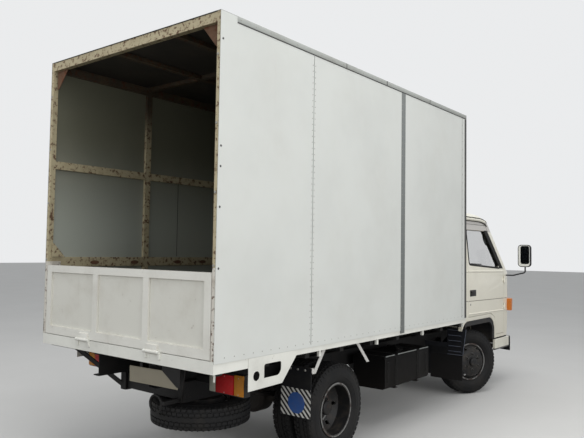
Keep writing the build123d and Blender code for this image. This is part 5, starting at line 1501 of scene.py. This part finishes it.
@dataclass
class RearParts:
    """Lamps, plate, flaps and bolts behind and under the box."""

    shop: Workshop

    def lamps(self) -> None:
        """Three lenses with their screws on each lamp, and the shell behind them."""
        rear = at(0.380)
        spans = (("clear", 0.569, 0.626), ("red", 0.630, 0.803), ("amber", 0.807, 0.891))
        for sign, word in NAMED_SIDES:
            for finish, low, high in spans:
                x = sorted((low * sign, high * sign))
                top = 0.812 if finish == "amber" else 0.804
                lens = rounded_box((x[0], rear - 0.006, 0.672), (x[1], rear + 0.010, top), 0.005, 2)
                slot = "lamp_clear" if finish == "clear" else "lamp_red"
                self.shop.place(f"lens_{finish}_{word}", [lens], finish, "chassis", slot)
            heads = lathe([(0, 0.0036), (0.0012, 0.0032), (0.0016, 0)], 8).turned(towards((0, 1, 0)))
            places = np.array([[x * sign, rear + 0.0098, z]
                               for x in (0.597, 0.716, 0.849) for z in (0.682, 0.793)])
            x = sorted((0.566 * sign, 0.893 * sign))
            shell = rounded_box((x[0], rear - 0.045, 0.700), (x[1], rear - 0.005, 0.815), 0.004, 2)
            self.shop.place(f"lamp_back_{word}", [shell], "plastic", "chassis", "black_plastic")
            self.shop.place(f"lens_screws_{word}", [heads.repeated(places)], "bright", "chassis",
                            "lamp_clear")

    def plate(self) -> None:
        """A blank number plate on two straps under the rear sill."""
        y = at(0.052)
        sheet = rounded_box((-0.603, y, 0.727), (-0.094, y + 0.0025, 0.837), 0.001, 1)
        rim = [rounded_box((-0.603, y - 0.001, z - 0.003), (-0.094, y + 0.0045, z + 0.003), 0.0015, 1)
               for z in (0.730, 0.834)]
        rim += [rounded_box((x - 0.003, y - 0.001, 0.730), (x + 0.003, y + 0.0045, 0.834), 0.0015, 1)
                for x in (-0.600, -0.097)]
        hung = [part.leaned(1.2, (-0.3485, 0.0, 0.782)) for part in (sheet, *rim)]
        self.shop.place("number_plate", hung, "plate", "chassis", "sill_white")
        straps = [rounded_box((x - 0.014, y - 0.005, 0.74), (x + 0.014, y - 0.0002, 0.892), 0.001, 1)
                  for x in (-0.50, -0.215)]
        self.shop.place("plate_straps", straps, "chassis", "chassis", "frame_paint")
        corners = [(-0.45, 0.885), (-0.45, 0.840), (-0.600, 0.748), (-0.632, 0.748), (-0.632, 0.885)]
        gusset = prism(corners, 0.004, 0.0008).turned(FACING_REAR)
        self.shop.place("tail_gusset", [gusset.moved(0, y + 0.010, 0)], "chassis", "chassis", "frame_paint")
        tab = [rounded_box((-0.970, y + 0.020, 0.834), (-0.954, y + 0.024, 0.900), 0.001, 1)]
        self.shop.place("corner_tab", tab, "sill", "chassis", "sill_white")

    def flaps(self) -> None:
        """Striped lower panels with a plain disc, and the bolts that clamp the rubber."""
        y = at(1.046)
        for sign, word in NAMED_SIDES:
            x = sorted((0.667 * sign, 0.953 * sign))
            panel = rounded_box((x[0], y - 0.0005, 0.406), (x[1], y + 0.0012, 0.617), 0.0005, 1)
            self.shop.place(f"flap_panel_{word}", [panel], "striped", "chassis", "flap_rubber")
            disc = lathe([(0, 0.080), (0.0012, 0.0795), (0.0012, 0)], 48).turned(towards((0, 1, 0)))
            self.shop.place(f"flap_disc_{word}", [disc.moved(0.818 * sign, y + 0.001, 0.508)], "blue",
                            "chassis", "flap_rubber")
            bolts = hexagon(0.009, 0.006).turned(towards((0, 1, 0)))
            places = np.array([[v * sign, y, 0.762] for v in (0.69, 0.76, 0.83, 0.90)])
            self.shop.place(f"flap_bolts_{word}", [bolts.repeated(places)], "bright", "chassis",
                            "frame_paint")

    def skirts(self) -> None:
        """Bolt heads along the skirt panels' edges."""
        for sign, word in NAMED_SIDES:
            bolt = hexagon(0.007, 0.004).turned(towards((sign, 0, 0)))
            places = np.array([[0.969 * sign, at(a), z] for a, z in
                               ((0.353, 0.753), (0.353, 0.798), (0.353, 0.844), (0.353, 0.889), (0.62, 0.918),
                                (0.78, 0.918))])
            self.shop.place(f"skirt_bolts_{word}", [bolt.repeated(places)], "plastic", "chassis",
                            "sill_white")

    def build(self) -> None:
        """All of the rear's small parts."""
        self.lamps()
        self.plate()
        self.flaps()
        self.skirts()


# Cab


@dataclass(frozen=True)
class CabForm:
    """The cab's outer faces, as the CAD lofts them through four plan sections."""

    heights: tuple[float, ...] = (0.612, 1.080, 1.420, 2.030)
    halves: tuple[float, ...] = (0.845, 0.848, 0.845, 0.780)
    side_ends: tuple[float, ...] = (5.425, 5.450, 5.445, 4.934)
    corners: tuple[float, ...] = (5.535, 5.555, 5.545, 5.035)
    noses: tuple[float, ...] = (5.590, 5.605, 5.600, 5.110)
    corner: float = 0.115

    def half(self, z: Any) -> Any:
        """Half the cab's width at a height."""
        return np.interp(z, self.heights, self.halves)

    def plan(self, z: float) -> Array:
        """The front half of the plan outline: (x, y) from the middle to the right side's flat.

        Each arc is the circle through its two ends and one point between them.

        Args:
            z: Height of the outline.

        Returns:
            Its points.
        """
        w = float(self.half(z))
        side, corner, nose = (at(float(np.interp(z, self.heights, row)))
                              for row in (self.side_ends, self.corners, self.noses))
        inner = w - self.corner
        bow = self.arc((inner, corner), (0.0, nose), (-inner, corner), 0.5)[::-1]
        middle = (w - self.corner * 0.2929, corner + (side - corner) * 0.2929)
        turn = self.arc((w, side), middle, (inner, corner), 1.0)[::-1]
        return np.concatenate([bow, turn[1:]])

    def arc(self, start: tuple[float, float], middle: tuple[float, float], end: tuple[float, float],
            share: float) -> Array:
        """Points on the circle through three points.

        Args:
            start: Where the arc starts.
            middle: A point on it.
            end: Where the whole arc ends.
            share: How much of the way from start to end is kept.

        Returns:
            The points.
        """
        a, b, c = (np.asarray(p, float) for p in (start, middle, end))
        rows = np.stack([b - a, c - a])
        centre = np.linalg.solve(2 * rows, (rows * (rows + 2 * a)).sum(1))
        angles = [math.atan2(*(p - centre)[::-1]) for p in (a, b, c)]
        sweep = np.unwrap(angles)
        turn = np.linspace(sweep[0], sweep[0] + (sweep[2] - sweep[0]) * share, 25)
        radius = np.linalg.norm(a - centre)
        return centre + radius * np.stack([np.cos(turn), np.sin(turn)], -1)

    def front(self, x: float, z: float, lift: float = 0.0) -> Array:
        """The point of the nose at an X and a height, lifted off the surface by a little."""
        outline = self.plan(z)
        y = float(np.interp(abs(x), outline[:, 0], outline[:, 1]))
        return np.array([x, y - lift, z])

    def side(self, y: float, z: float, sign: float, lift: float) -> Array:
        """The point of a side wall at a Y and a height, lifted off the surface by a little."""
        return np.array([(float(self.half(z)) + lift) * sign, y, z])


def rounded_outline(corners: Sequence[Sequence[float]], radius: float, steps: int) -> Array:
    """A closed flat outline with each corner cut by a quadratic curve.

    Args:
        corners: The corners in order.
        radius: How far from each corner its curve starts.
        steps: Points on each curve.

    Returns:
        The points of the outline.
    """
    flat = np.asarray(corners, float)
    before = flat + unit(np.roll(flat, 1, axis=0) - flat) * radius
    after = flat + unit(np.roll(flat, -1, axis=0) - flat) * radius
    t = np.linspace(0, 1, steps)[None, :, None]
    curve = before[:, None] * (1 - t) ** 2 + 2 * flat[:, None] * t * (1 - t) + after[:, None] * t ** 2
    return curve.reshape(-1, 2)


def dense(path: Array, pitch: float, closed: bool = True) -> Array:
    """A path with points added on its long steps.

    Args:
        path: The path's points.
        pitch: Steps of twice this length and more are divided.
        closed: Whether the last point joins the first.

    Returns:
        The longer path.
    """
    ends = np.roll(path, -1, axis=0) if closed else path[1:]
    rows = []
    for start, end in zip(path, ends):
        count = max(1, int(np.linalg.norm(end - start) / pitch))
        rows.append(start + (end - start) * (np.arange(count) / count)[:, None])
    if not closed:
        rows.append(path[-1:])
    return np.concatenate(rows)


@dataclass
class CabTrim:
    """Seals, handles, creases, bezels, wipers, mirrors and gutters on the cab's outside."""

    shop: Workshop
    form: CabForm = field(default_factory=CabForm)

    def screen_seals(self) -> None:
        """Rubber seals round the windscreen and the rear window."""
        low, high = 0.745, 0.662
        corners = [(-low, 1.478), (low, 1.478), (high, 1.985), (-high, 1.985)]
        path = dense(rounded_outline(corners, 0.055, 6), 0.04)
        ring = np.stack([self.form.front(x, z, 0.001) for x, z in path])
        seal = bead(ring, 0.026, 0.012, True)
        self.shop.place("windscreen_seal", [seal], "seal", "cab", "black_plastic", smooth=BEAD_ANGLE)
        rear = [(-0.52, 1.50), (0.52, 1.50), (0.52, 1.85), (-0.52, 1.85)]
        flat = dense(rounded_outline(rear, 0.035, 6), 0.05)
        ring = np.column_stack([flat[:, 0], np.full(len(flat), at(3.880) - 0.001), flat[:, 1]])
        seal = bead(ring, 0.010, 0.022, True)
        self.shop.place("rear_window_seal", [seal], "seal", "cab", "black_plastic", smooth=BEAD_ANGLE)

    def door_window(self, sign: float, lift: float, grow: float) -> Array:
        """The door window's outline on the door's outer face, grown by a little."""
        corners = [(4.262 - grow, 1.535 - grow), (4.270 - grow, 1.935 + grow),
                   (4.814 + grow * 0.6, 1.935 + grow), (5.205 + grow * 1.6, 1.482 - grow)]
        flat = dense(rounded_outline(corners, 0.035, 6), 0.05)
        return np.stack([self.form.side(at(a), z, sign, lift) for a, z in flat])

    def door_parts(self) -> None:
        """Seals, handles, locks and creases on both doors, and the creases' ends on the cab."""
        for sign, word in NAMED_SIDES:
            body = f"door_{word}"
            outline = self.door_window(sign, 0.0005, 0.004)
            crown = outline[:, 2] > 1.9375
            last = int(np.flatnonzero(crown & ~np.roll(crown, -1))[0])
            outline, crown = np.roll(outline, -last, axis=0), np.roll(crown, -last)
            seal = bead(outline[~crown], 0.022, 0.010)
            self.shop.place(f"window_seal_{word}", [seal], "seal", body, "black_plastic", smooth=BEAD_ANGLE)
            head = outline[crown]
            head = bead(head[np.argsort(head[:, 1])], 0.008, 0.006)
            self.shop.place(f"window_head_{word}", [head], "crease", body, "cab_cream", smooth=BEAD_ANGLE)
            x = float(self.form.half(1.2)) * sign
            y = at(4.338)
            cup = centred_box((x - 0.002 * sign, y, 1.197), (0.014, 0.176, 0.074), 0.006, 2)
            pull = centred_box((x + 0.009 * sign, y + 0.012, 1.211), (0.018, 0.120, 0.024), 0.008, 3)
            self.shop.place(f"door_handle_{word}", [cup, pull], "plastic", body, "black_plastic")
            lock = lathe([(-0.002, 0.0125), (0.003, 0.012), (0.0042, 0.010), (0.0042, 0.0)], 20)
            slit = centred_box((0, 0, 0.0042), (0.002, 0.010, 0.001), 0.0004, 1)
            where = (float(self.form.half(1.067)) * sign, at(4.264), 1.067)
            for key, part, finish, slot in (("door_lock", lock, "bright", "cab_cream"),
                                            ("lock_slit", slit, "cavity", "black_plastic")):
                part = part.turned(towards((sign, 0, 0))).moved(*where)
                self.shop.place(f"{key}_{word}", [part], finish, body, slot)
            self.sash(sign, word)
            for key, z, finish, tall, proud in (("step", 1.1005, "crease", 0.008, 0.0012),
                                                ("ledge", 0.951, "cream", 0.018, 0.007),
                                                ("waist", 1.444, "cream", 0.026, 0.006)):
                spans = ((body, 4.216, 5.322), ("cab", 5.342, 5.436), ("cab", 3.886, 4.198))
                for number, (rides, first, last) in enumerate(spans):
                    if number == 2 and z < 1.0 or number == 1 and z > 1.4:
                        continue
                    run = [(a, z + (4.75 - a) * 0.013) for a in np.linspace(first, last, 16)]
                    path = np.stack([self.form.side(at(a), level, sign, 0.0) for a, level in run])
                    strip = bead(path, tall, proud * 2)
                    self.shop.place(f"{key}_{number}_{word}", [strip], finish, rides, "cab_cream",
                                    smooth=STRIP_ANGLE)

    def sash(self, sign: float, word: str) -> None:
        """The broad black band between the door's glass and its slanted front edge.

        Args:
            sign: 1 for the vehicle's left and -1 for its right.
            word: The side's name.
        """
        rear = np.linspace((5.205, 1.474), (4.818, 1.948), 12)
        front = np.linspace((5.318, 1.474), (4.905, 1.948), 12)
        rows = []
        for near, far in zip(rear, front):
            rows.append([self.form.side(at(a), z, sign, lift) for a, z, lift in
                         ((*near, 0.0022), (*far, 0.0022), (*far, -0.002), (*near, -0.002))])
        self.shop.place(f"window_sash_{word}", [skinned(np.asarray(rows))], "seal", f"door_{word}",
                        "black_plastic")

    def grips(self) -> None:
        """A black assist grip on the inside of the right windscreen pillar."""
        outline = [(5.06, 1.940), (4.955, 1.905), (4.935, 1.860), (5.03, 1.775), (5.125, 1.815)]
        path = smooth_path([(-0.735, at(a), z) for a, z in outline], 24)
        self.shop.place("grip_right", [pipe(path, 0.012, 10)], "seal", "cab", "black_plastic")

    def lamps(self) -> None:
        """A bright bezel round each headlamp."""
        for sign, word in NAMED_SIDES:
            corners = [(0.474, 0.991), (0.684, 0.991), (0.684, 1.189), (0.474, 1.189)]
            path = dense(rounded_outline(corners, 0.02, 5), 0.03)
            ring = np.stack([self.form.front(x * sign, z, 0.002) for x, z in path])
            bezel = bead(ring, 0.016, 0.016, True)
            self.shop.place(f"lamp_bezel_{word}", [bezel], "chrome", "cab", "black_plastic",
                            smooth=BEAD_ANGLE)

    def wipers(self) -> None:
        """Two wiper arms with blades that lie along the windscreen."""
        pieces, blades = [], []
        for root, tip in ((-0.52, -0.02), (0.10, 0.58)):
            start = self.form.front(root, 1.452, 0.012)
            end = self.form.front((root + tip) / 2, 1.535, 0.018)
            pieces.append(pipe(smooth_path([start, (start + end) / 2 - np.array([0, 0.008, 0]), end], 9),
                               np.linspace(0.008, 0.004, 9), 8))
            pieces.append(lathe([(-0.012, 0.017), (0.010, 0.016), (0.014, 0.010), (0.014, 0)], 16)
                          .turned(towards((0, -0.75, 0.66))).moved(*start))
            line = np.stack([self.form.front(x, 1.515 + 0.03 * abs(x - root), 0.009)
                             for x in np.linspace(root + 0.04, tip, 14)])
            blades.append(bead(line, 0.009, 0.014, steps=6))
        self.shop.place("wiper_arms", pieces, "plastic", "cab", "black_plastic")
        self.shop.place("wiper_blades", blades, "seal", "cab", "black_plastic")

    def mirrors(self) -> None:
        """A pale border and a dark pane in each mirror head, facing the rear."""
        y = at(5.450) + 0.030
        rows = (("border", "sill", 0.142, 0.266, 0.038, 0.0, 0.0008, 1.640),
                ("pane", "mirror", 0.112, 0.232, 0.030, 0.010, 0.0022, 1.652))
        for sign, word in NAMED_SIDES:
            for key, finish, wide, tall, radius, shift, out, z in rows:
                corners = [(u * wide / 2, v * tall / 2) for u, v in ((-1, -1), (1, -1), (1, 1), (-1, 1))]
                plate = prism(rounded_outline(corners, radius, 8), 0.003, 0.0006).turned(FACING_REAR)
                plate = plate.moved((1.080 + shift) * sign, y + out, z)
                self.shop.place(f"mirror_{key}_{word}", [plate], finish, "cab", "black_plastic")

    def front(self) -> None:
        """The grille's frame and the black band along the bumper."""
        corners = [(-0.428, 0.987), (0.428, 0.987), (0.428, 1.193), (-0.428, 1.193)]
        path = dense(rounded_outline(corners, 0.015, 4), 0.04)
        ring = np.stack([self.form.front(x, z, 0.0) for x, z in path])
        frame = bead(ring, 0.014, 0.014, True)
        self.shop.place("grille_frame", [frame], "plastic", "cab", "black_plastic", smooth=BEAD_ANGLE)
        lips = []
        for low, high, z, tall in ((-0.856, 0.856, 0.432, 0.058), (-0.856, -0.760, 0.497, 0.190),
                                   (0.760, 0.856, 0.497, 0.190)):
            run = [(x, at(5.646 - 0.165 * x ** 2), z) for x in np.linspace(low, high, 33)]
            lips.append(bead(np.array(run), 0.012, tall))
        self.shop.place("bumper_lips", lips, "plastic", "chassis", "black_plastic", smooth=STRIP_ANGLE)

    def gutters(self) -> None:
        """The bright gutter along each side of the roof, between two dark lines of painted shade that follow
        its bend.
        """
        run = [(3.900, 2.072), (4.300, 2.0715), (4.640, 2.070), (4.760, 2.063), (4.850, 2.045),
               (4.905, 2.020)]
        rows = (("strip", "cream", 0.000, 0.784, 0.036, 0.018),
                ("upper", "cavity", 0.022, 0.784, 0.011, 0.016),
                ("lower", "cavity", -0.020, 0.786, 0.008, 0.014))
        for sign, word in NAMED_SIDES:
            for key, finish, lift, reach, wide, tall in rows:
                path = smooth_path([(reach * sign, at(a), z + lift) for a, z in run], 28)
                self.shop.place(f"gutter_{key}_{word}", [bead(path, wide, tall)], finish, "cab",
                                "cab_cream" if finish == "cream" else "black_plastic", smooth=STRIP_ANGLE)

    def build(self) -> None:
        """All of the cab's outer parts."""
        self.screen_seals()
        self.door_parts()
        self.lamps()
        self.grips()
        self.wipers()
        self.mirrors()
        self.front()
        self.gutters()


@dataclass
class CabInside:
    """Seats, dials, levers and pedals in the cab."""

    shop: Workshop

    def pad(self, low: Sequence[float], high: Sequence[float], crown: float, channels: int,
            face: int) -> Patch:
        """A crowned cushion with sewn channels.

        The box is a squared ball: each coordinate is the sine of its angle to a power under 1. The face's
        bulge falls off to its four edges, and a cosine of X cuts the channels into it.

        Args:
            low: Lowest corner.
            high: Highest corner.
            crown: How far the face bulges.
            channels: How many padded ribs lie side by side.
            face: The axis that the face looks along.

        Returns:
            A closed patch.
        """
        low, high = np.asarray(low, float), np.asarray(high, float)
        half, centre = (high - low) / 2, (high + low) / 2
        rows, columns = 48, 96
        rise = np.linspace(-math.pi / 2, math.pi / 2, rows)[:, None]
        turn = (np.arange(columns) * 2 * math.pi / columns)[None, :]
        power = 0.24

        def squared(value: Array) -> Array:
            """The value's root by the power, with its sign."""
            return np.sign(value) * np.abs(value) ** power

        ball = np.stack([squared(np.cos(rise)) * squared(np.cos(turn)),
                         squared(np.cos(rise)) * squared(np.sin(turn)), squared(np.sin(rise)) + 0 * turn], -1)
        others = [k for k in range(3) if k != face]
        spread = (1 - np.abs(ball[..., others[0]]) ** 3) * (1 - np.abs(ball[..., others[1]]) ** 3)
        rib = np.abs(np.cos(ball[..., 0] * channels * math.pi / 2)) ** 0.35
        outward = np.clip(ball[..., face], 0, 1)
        ball[..., face] += outward * spread * (crown + 0.010 * (rib - 1)) / half[face]
        pinch = 1 - 0.02 * (1 - np.abs(ball[..., face].clip(-1, 1)))
        for k in others:
            ball[..., k] *= pinch
        return skinned(ball * half + centre)

    def seats(self) -> None:
        """Each seat's cushion and backrest, on plain bases."""
        spans = (("driver", -0.700, -0.320, 3), ("passenger", -0.240, 0.700, 8))
        rear, front = at(4.150), at(4.690)
        names = []
        for word, low, high, channels in spans:
            cushion = self.pad((low, front, 1.013), (high, rear - 0.02, 1.124), 0.006, channels, 2)
            first = self.shop.place(f"seat_cushion_{word}", [cushion], "cloth", "cab", "seat_fabric",
                                    ["seats"] if word == "driver" else (), smooth=CUSHION_ANGLE)
            back = self.pad((low + 0.01, -(rear + 0.100), 1.115), (high - 0.01, -(rear - 0.014), 1.722),
                            0.006, channels, 1)
            back = Patch(back.points * np.array([1.0, -1.0, 1.0]), tuple(f[:, ::-1] for f in back.faces))
            second = self.shop.place(f"seat_back_{word}", [back], "cloth", "cab", "seat_fabric",
                                     smooth=CUSHION_ANGLE)
            names += [first, second]
        bases = [rounded_box((-0.68, front + 0.06, 0.8803), (-0.34, rear - 0.06, 1.02), 0.006, 2),
                 rounded_box((0.31, front + 0.06, 0.8803), (0.68, rear - 0.06, 1.02), 0.006, 2),
                 rounded_box((-0.23, front + 0.02, 1.0103), (0.69, rear - 0.02, 1.022), 0.004, 2)]
        self.shop.place("seat_bases", bases, "trim", "cab", "trim_grey")

    def controls(self) -> None:
        """Gear lever, hand brake and pedals."""
        lever = pipe(smooth_path([(-0.15, at(4.86), 1.008), (-0.16, at(4.88), 1.12),
                                  (-0.20, at(4.84), 1.25)], 12), 0.007, 10)
        knob = lathe([(-0.024, 0.008), (-0.018, 0.018), (0.0, 0.023), (0.016, 0.018), (0.024, 0.006),
                      (0.024, 0)], 20)
        brake = pipe(smooth_path([(-0.27, at(4.74), 1.008), (-0.275, at(4.82), 1.10),
                                  (-0.275, at(4.90), 1.17)], 10), 0.009, 10)
        boot = lathe([(0, 0.055), (0.012, 0.050), (0.03, 0.032), (0.036, 0.034), (0.055, 0.018),
                      (0.06, 0)], 24)
        self.shop.place("levers", [lever, brake, boot.moved(-0.15, at(4.86), 1.009)], "seal", "cab",
                        "black_plastic")
        self.shop.place("lever_knob", [knob.moved(-0.20, at(4.84), 1.262)], "plastic", "cab", "black_plastic")
        pedals = []
        for x, ahead in ((-0.60, 5.255), (-0.49, 5.235), (-0.37, 5.235)):
            y = at(ahead)
            pad = centred_box((x, y, 0.885), (0.062, 0.014, 0.072), 0.005, 2)
            run = [(x, y - 0.006, 0.89), (x, y - 0.05, 1.0), (x, y - 0.04, 1.115), (x, y - 0.04, 1.13)]
            pedals += [pad, pipe(smooth_path(run, 9), 0.006, 8)]
        self.shop.place("pedals", pedals, "seal", "cab", "black_plastic")

    def dials(self) -> None:
        """An instrument hood with two dials before the driver, and air vents along the dashboard."""
        y = at(5.088)
        rings, faces = [], []
        for x in (-0.55, -0.39):
            rings.append(lathe([(0, 0.060), (0.010, 0.060), (0.012, 0.056), (0.004, 0.052)], 32, closed=True)
                         .turned(towards((0, 1, 0))).moved(x, y, 1.250))
            faces.append(lathe([(0, 0.053), (0.003, 0.053), (0.003, 0)], 32).turned(towards((0, 1, 0)))
                         .moved(x, y, 1.250))
        self.shop.place("dial_rings", rings, "bright", "cab", "black_plastic")
        self.shop.place("dial_faces", faces, "cavity", "cab", "black_plastic")
        vents = [rounded_box((x - 0.07, y - 0.002, z - 0.004), (x + 0.07, y + 0.006, z + 0.003), 0.002, 1)
                 for x in (-0.10, 0.15, 0.55) for z in (1.20, 1.215, 1.23, 1.245, 1.26)]
        self.shop.place("dash_vents", vents, "plastic", "cab", "black_plastic")

    def build(self) -> None:
        """All of the cab's inner parts."""
        self.seats()
        self.controls()
        self.dials()


# Underside


@dataclass
class Underside:
    """Spring bolts, dampers and rail rivets under the truck, and the tank's and guards' edges."""

    shop: Workshop

    def spring_bolts(self) -> None:
        """Two U-bolts over each spring pack, with plates and nuts under the axle."""
        bolts, plates, nuts = [], [], []
        rear = (REAR_AXLE_Y, 0.4655, 0.3355, 0.048)
        front = (FRONT_AXLE_Y, 0.4185, 0.3225, 0.041)
        for y, top, low, reach in (rear, front):
            for sign in SIDES:
                x = 0.325 * sign
                for end in (-1, 1):
                    place = y + end * reach
                    half = 0.0315
                    path = [(x - half, place, low - 0.030), (x - half, place, top - 0.004),
                            (x - half + 0.006, place, top + 0.0055), (x, place, top + 0.0065),
                            (x + half - 0.006, place, top + 0.0055), (x + half, place, top - 0.004),
                            (x + half, place, low - 0.030)]
                    bolts.append(pipe(dense(np.array(path), 0.02, False), 0.0062, 8))
                    for side in (-1, 1):
                        nut = hexagon(0.011, 0.010).turned(towards((0, 0, -1)))
                        nuts.append(nut.moved(x + side * half, place, low - 0.0125))
                plates.append(rounded_box((x - 0.046, y - reach - 0.018, low - 0.0125),
                                          (x + 0.046, y + reach + 0.018, low - 0.001), 0.002, 1))
        self.shop.place("spring_bolts", bolts, "spring", "chassis", "spring_steel", smooth=STRIP_ANGLE)
        self.shop.place("spring_plates", plates, "chassis", "chassis", "spring_steel")
        self.shop.place("spring_nuts", nuts, "rivet", "chassis", "spring_steel")

    def dampers(self) -> None:
        """A damper from each rail to the axle, each a dust tube over a thinner rod."""
        rods, tubes = [], []
        spans = (((0.392, 1.20, 0.62), (0.405, 1.36, 0.345)), ((0.382, -1.600, 0.62), (0.405, -1.700, 0.372)))
        for top, low in spans:
            for sign in SIDES:
                a, b = (np.array([p[0] * sign, p[1], p[2]]) for p in (top, low))
                middle = a * 0.48 + b * 0.52
                tubes.append(pipe(np.stack([a, middle]), 0.024, 16))
                rods.append(pipe(np.stack([middle, b]), 0.019, 16))
                for end, inner in ((a, 0.358), (b, 0.375)):
                    pin = np.array([[inner * sign, *end[1:]], [end[0] + 0.022 * sign, *end[1:]]])
                    rods.append(pipe(pin, 0.012, 10))
        self.shop.place("damper_tubes", tubes, "plastic", "chassis", "frame_paint", smooth=STRIP_ANGLE)
        self.shop.place("damper_rods", rods, "chassis", "chassis", "frame_paint", smooth=STRIP_ANGLE)

    def tank_edges(self) -> None:
        """Light strips along the top of the tank: painted highlight on its top edges."""
        edges = [rounded_box((-0.8025, at(high), 0.679), (-0.7985, at(low), 0.690), 0.0015, 1)
                 for low, high in ((2.412, 2.578), (2.642, 3.018), (3.082, 3.278))]
        self.shop.place("tank_edges", edges, "tank_highlight", "chassis", "frame_paint")

    def guard_edges(self) -> None:
        """Light lines on the guards' louvres and edges, painted as highlights, and a rubber web beside each
        guard.
        """
        y = at(4.0845)
        for sign, word in NAMED_SIDES:
            lines = []
            for z in (0.540, 0.600, 0.660, 0.720, 0.780):
                lines.append(np.array([[0.662 * sign, y + 0.0105, z], [0.812 * sign, y + 0.0105, z]]))
            lines.append(np.array([[0.8705 * sign, y, 0.797], [0.8305 * sign, y, 0.503]]))
            lines.append(np.array([[0.8305 * sign, y, 0.5015], [0.645 * sign, y, 0.5015]]))
            made = [bead(dense(line, 0.05, False), 0.006, 0.003) for line in lines]
            self.shop.place(f"guard_edges_{word}", made, "worn", "chassis", "frame_paint", smooth=BEAD_ANGLE)
            web = [centred_box((x * sign, y - 0.00475, z), (wide, 0.0025, tall), 0.001, 1)
                   for x, z, wide, tall in ((0.406, 0.425, 0.068, 0.350), (0.541, 0.540, 0.218, 0.100))]
            self.shop.place(f"guard_web_{word}", web, "flap", "chassis", "frame_paint")

    def rail_bolts(self) -> None:
        """Rivet heads where the cross members and brackets join the rails."""
        places = []
        for ahead in (0.365, 0.598, 1.060, 2.150, 3.100, 5.180):
            for z in (0.598, 0.630, 0.662):
                for shift in (-0.02, 0.02):
                    places.append((0.3595, at(ahead) + shift, z))
        left = dome(0.0085, 0.005, 8).turned(towards((1, 0, 0))).repeated(np.array(places))
        self.shop.place("rail_rivets", [left, left.flipped()], "chassis", "chassis", "frame_paint")

    def build(self) -> None:
        """All of the underside's small parts."""
        self.spring_bolts()
        self.dampers()
        self.rail_bolts()
        self.tank_edges()
        self.guard_edges()


def dress_frame(shop: Workshop) -> None:
    """Ease and paint every CAD node that keeps its own shape.

    Args:
        shop: The workshop that holds the materials.
    """
    plan: dict[str, tuple[str, float, tuple[str, ...]]] = {
        "chassis": ("chassis", 0.002, ("frame_rail_left", "frame_rail_right", "cross_members",
                                        "rear_brackets", "propeller_shaft", "tie_rod")),
        "hanger": ("hanger", 0.002, ("flap_hangers",)),
        "cast": ("cast", 0.004, ("front_axle", "rear_axle", "engine_block", "gearbox", "knuckle_left",
                                 "knuckle_right")),
        "spring": ("spring", 0.001, ("leaf_springs",)),
        "bearer": ("bearer", 0.002, ("box_bearers",)),
        "sill": ("sill", 0.003, ("box_sills",)),
        "frame": ("beige", 0.002, ("box_frame",)),
        "cab": ("cream", 0.006, ("cab_shell", "cab_roof")),
        "doors": ("door", 0.006, ("door_left", "door_right")),
        "glass": ("glass", 0.001, ("cab_glass", "door_glass_left", "door_glass_right")),
        "tank": ("tank", 0.003, ("fuel_tank", "battery_box")),
        "guard": ("guard", 0.001, ("front_guards",)),
        "plastic": ("plastic", 0.003, ("arch_liners", "grille", "mirrors", "steering_wheel", "rear_lamps")),
        "trim": ("trim", 0.004, ("dashboard",)),
        "bumper": ("bumper", 0.004, ("bumper",)),
        "gate": ("gate", 0.004, ("tailgate",)),
        "skirt": ("skirt", 0.001, ("skirt_panels",)),
        "exhaust": ("exhaust", 0.001, ("exhaust",)),
    }
    for finish, bevel, nodes in plan.values():
        for node in nodes:
            shop.ease(node, finish, bevel)
    shop.paint("skin", "box_wall_left", "box_wall_right", "box_front_wall")
    shop.paint("roof", "box_roof")
    shop.paint("floor", "box_floor")
    shop.paint("flap", "rear_flaps")
    shop.paint("front_lens", "front_lamps")


def main() -> None:
    """Build the stage and the truck, piece by piece."""
    logging.basicConfig(level=logging.INFO, format="%(name)s: %(message)s")
    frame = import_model()
    SLOTS.extend(frame["record"]["subparts"])
    shop = Workshop(make_finishes(), frame["nodes"])
    Studio().build()
    dress_frame(shop)
    for trade in (Wheels, BoxTrim, RearParts, Underside, CabTrim, CabInside):
        trade(shop).build()
    bpy.context.scene.view_settings.view_transform = "Standard"
    LOG.info("%d new pieces", shop.made)


if __name__ == "__main__":
    main()
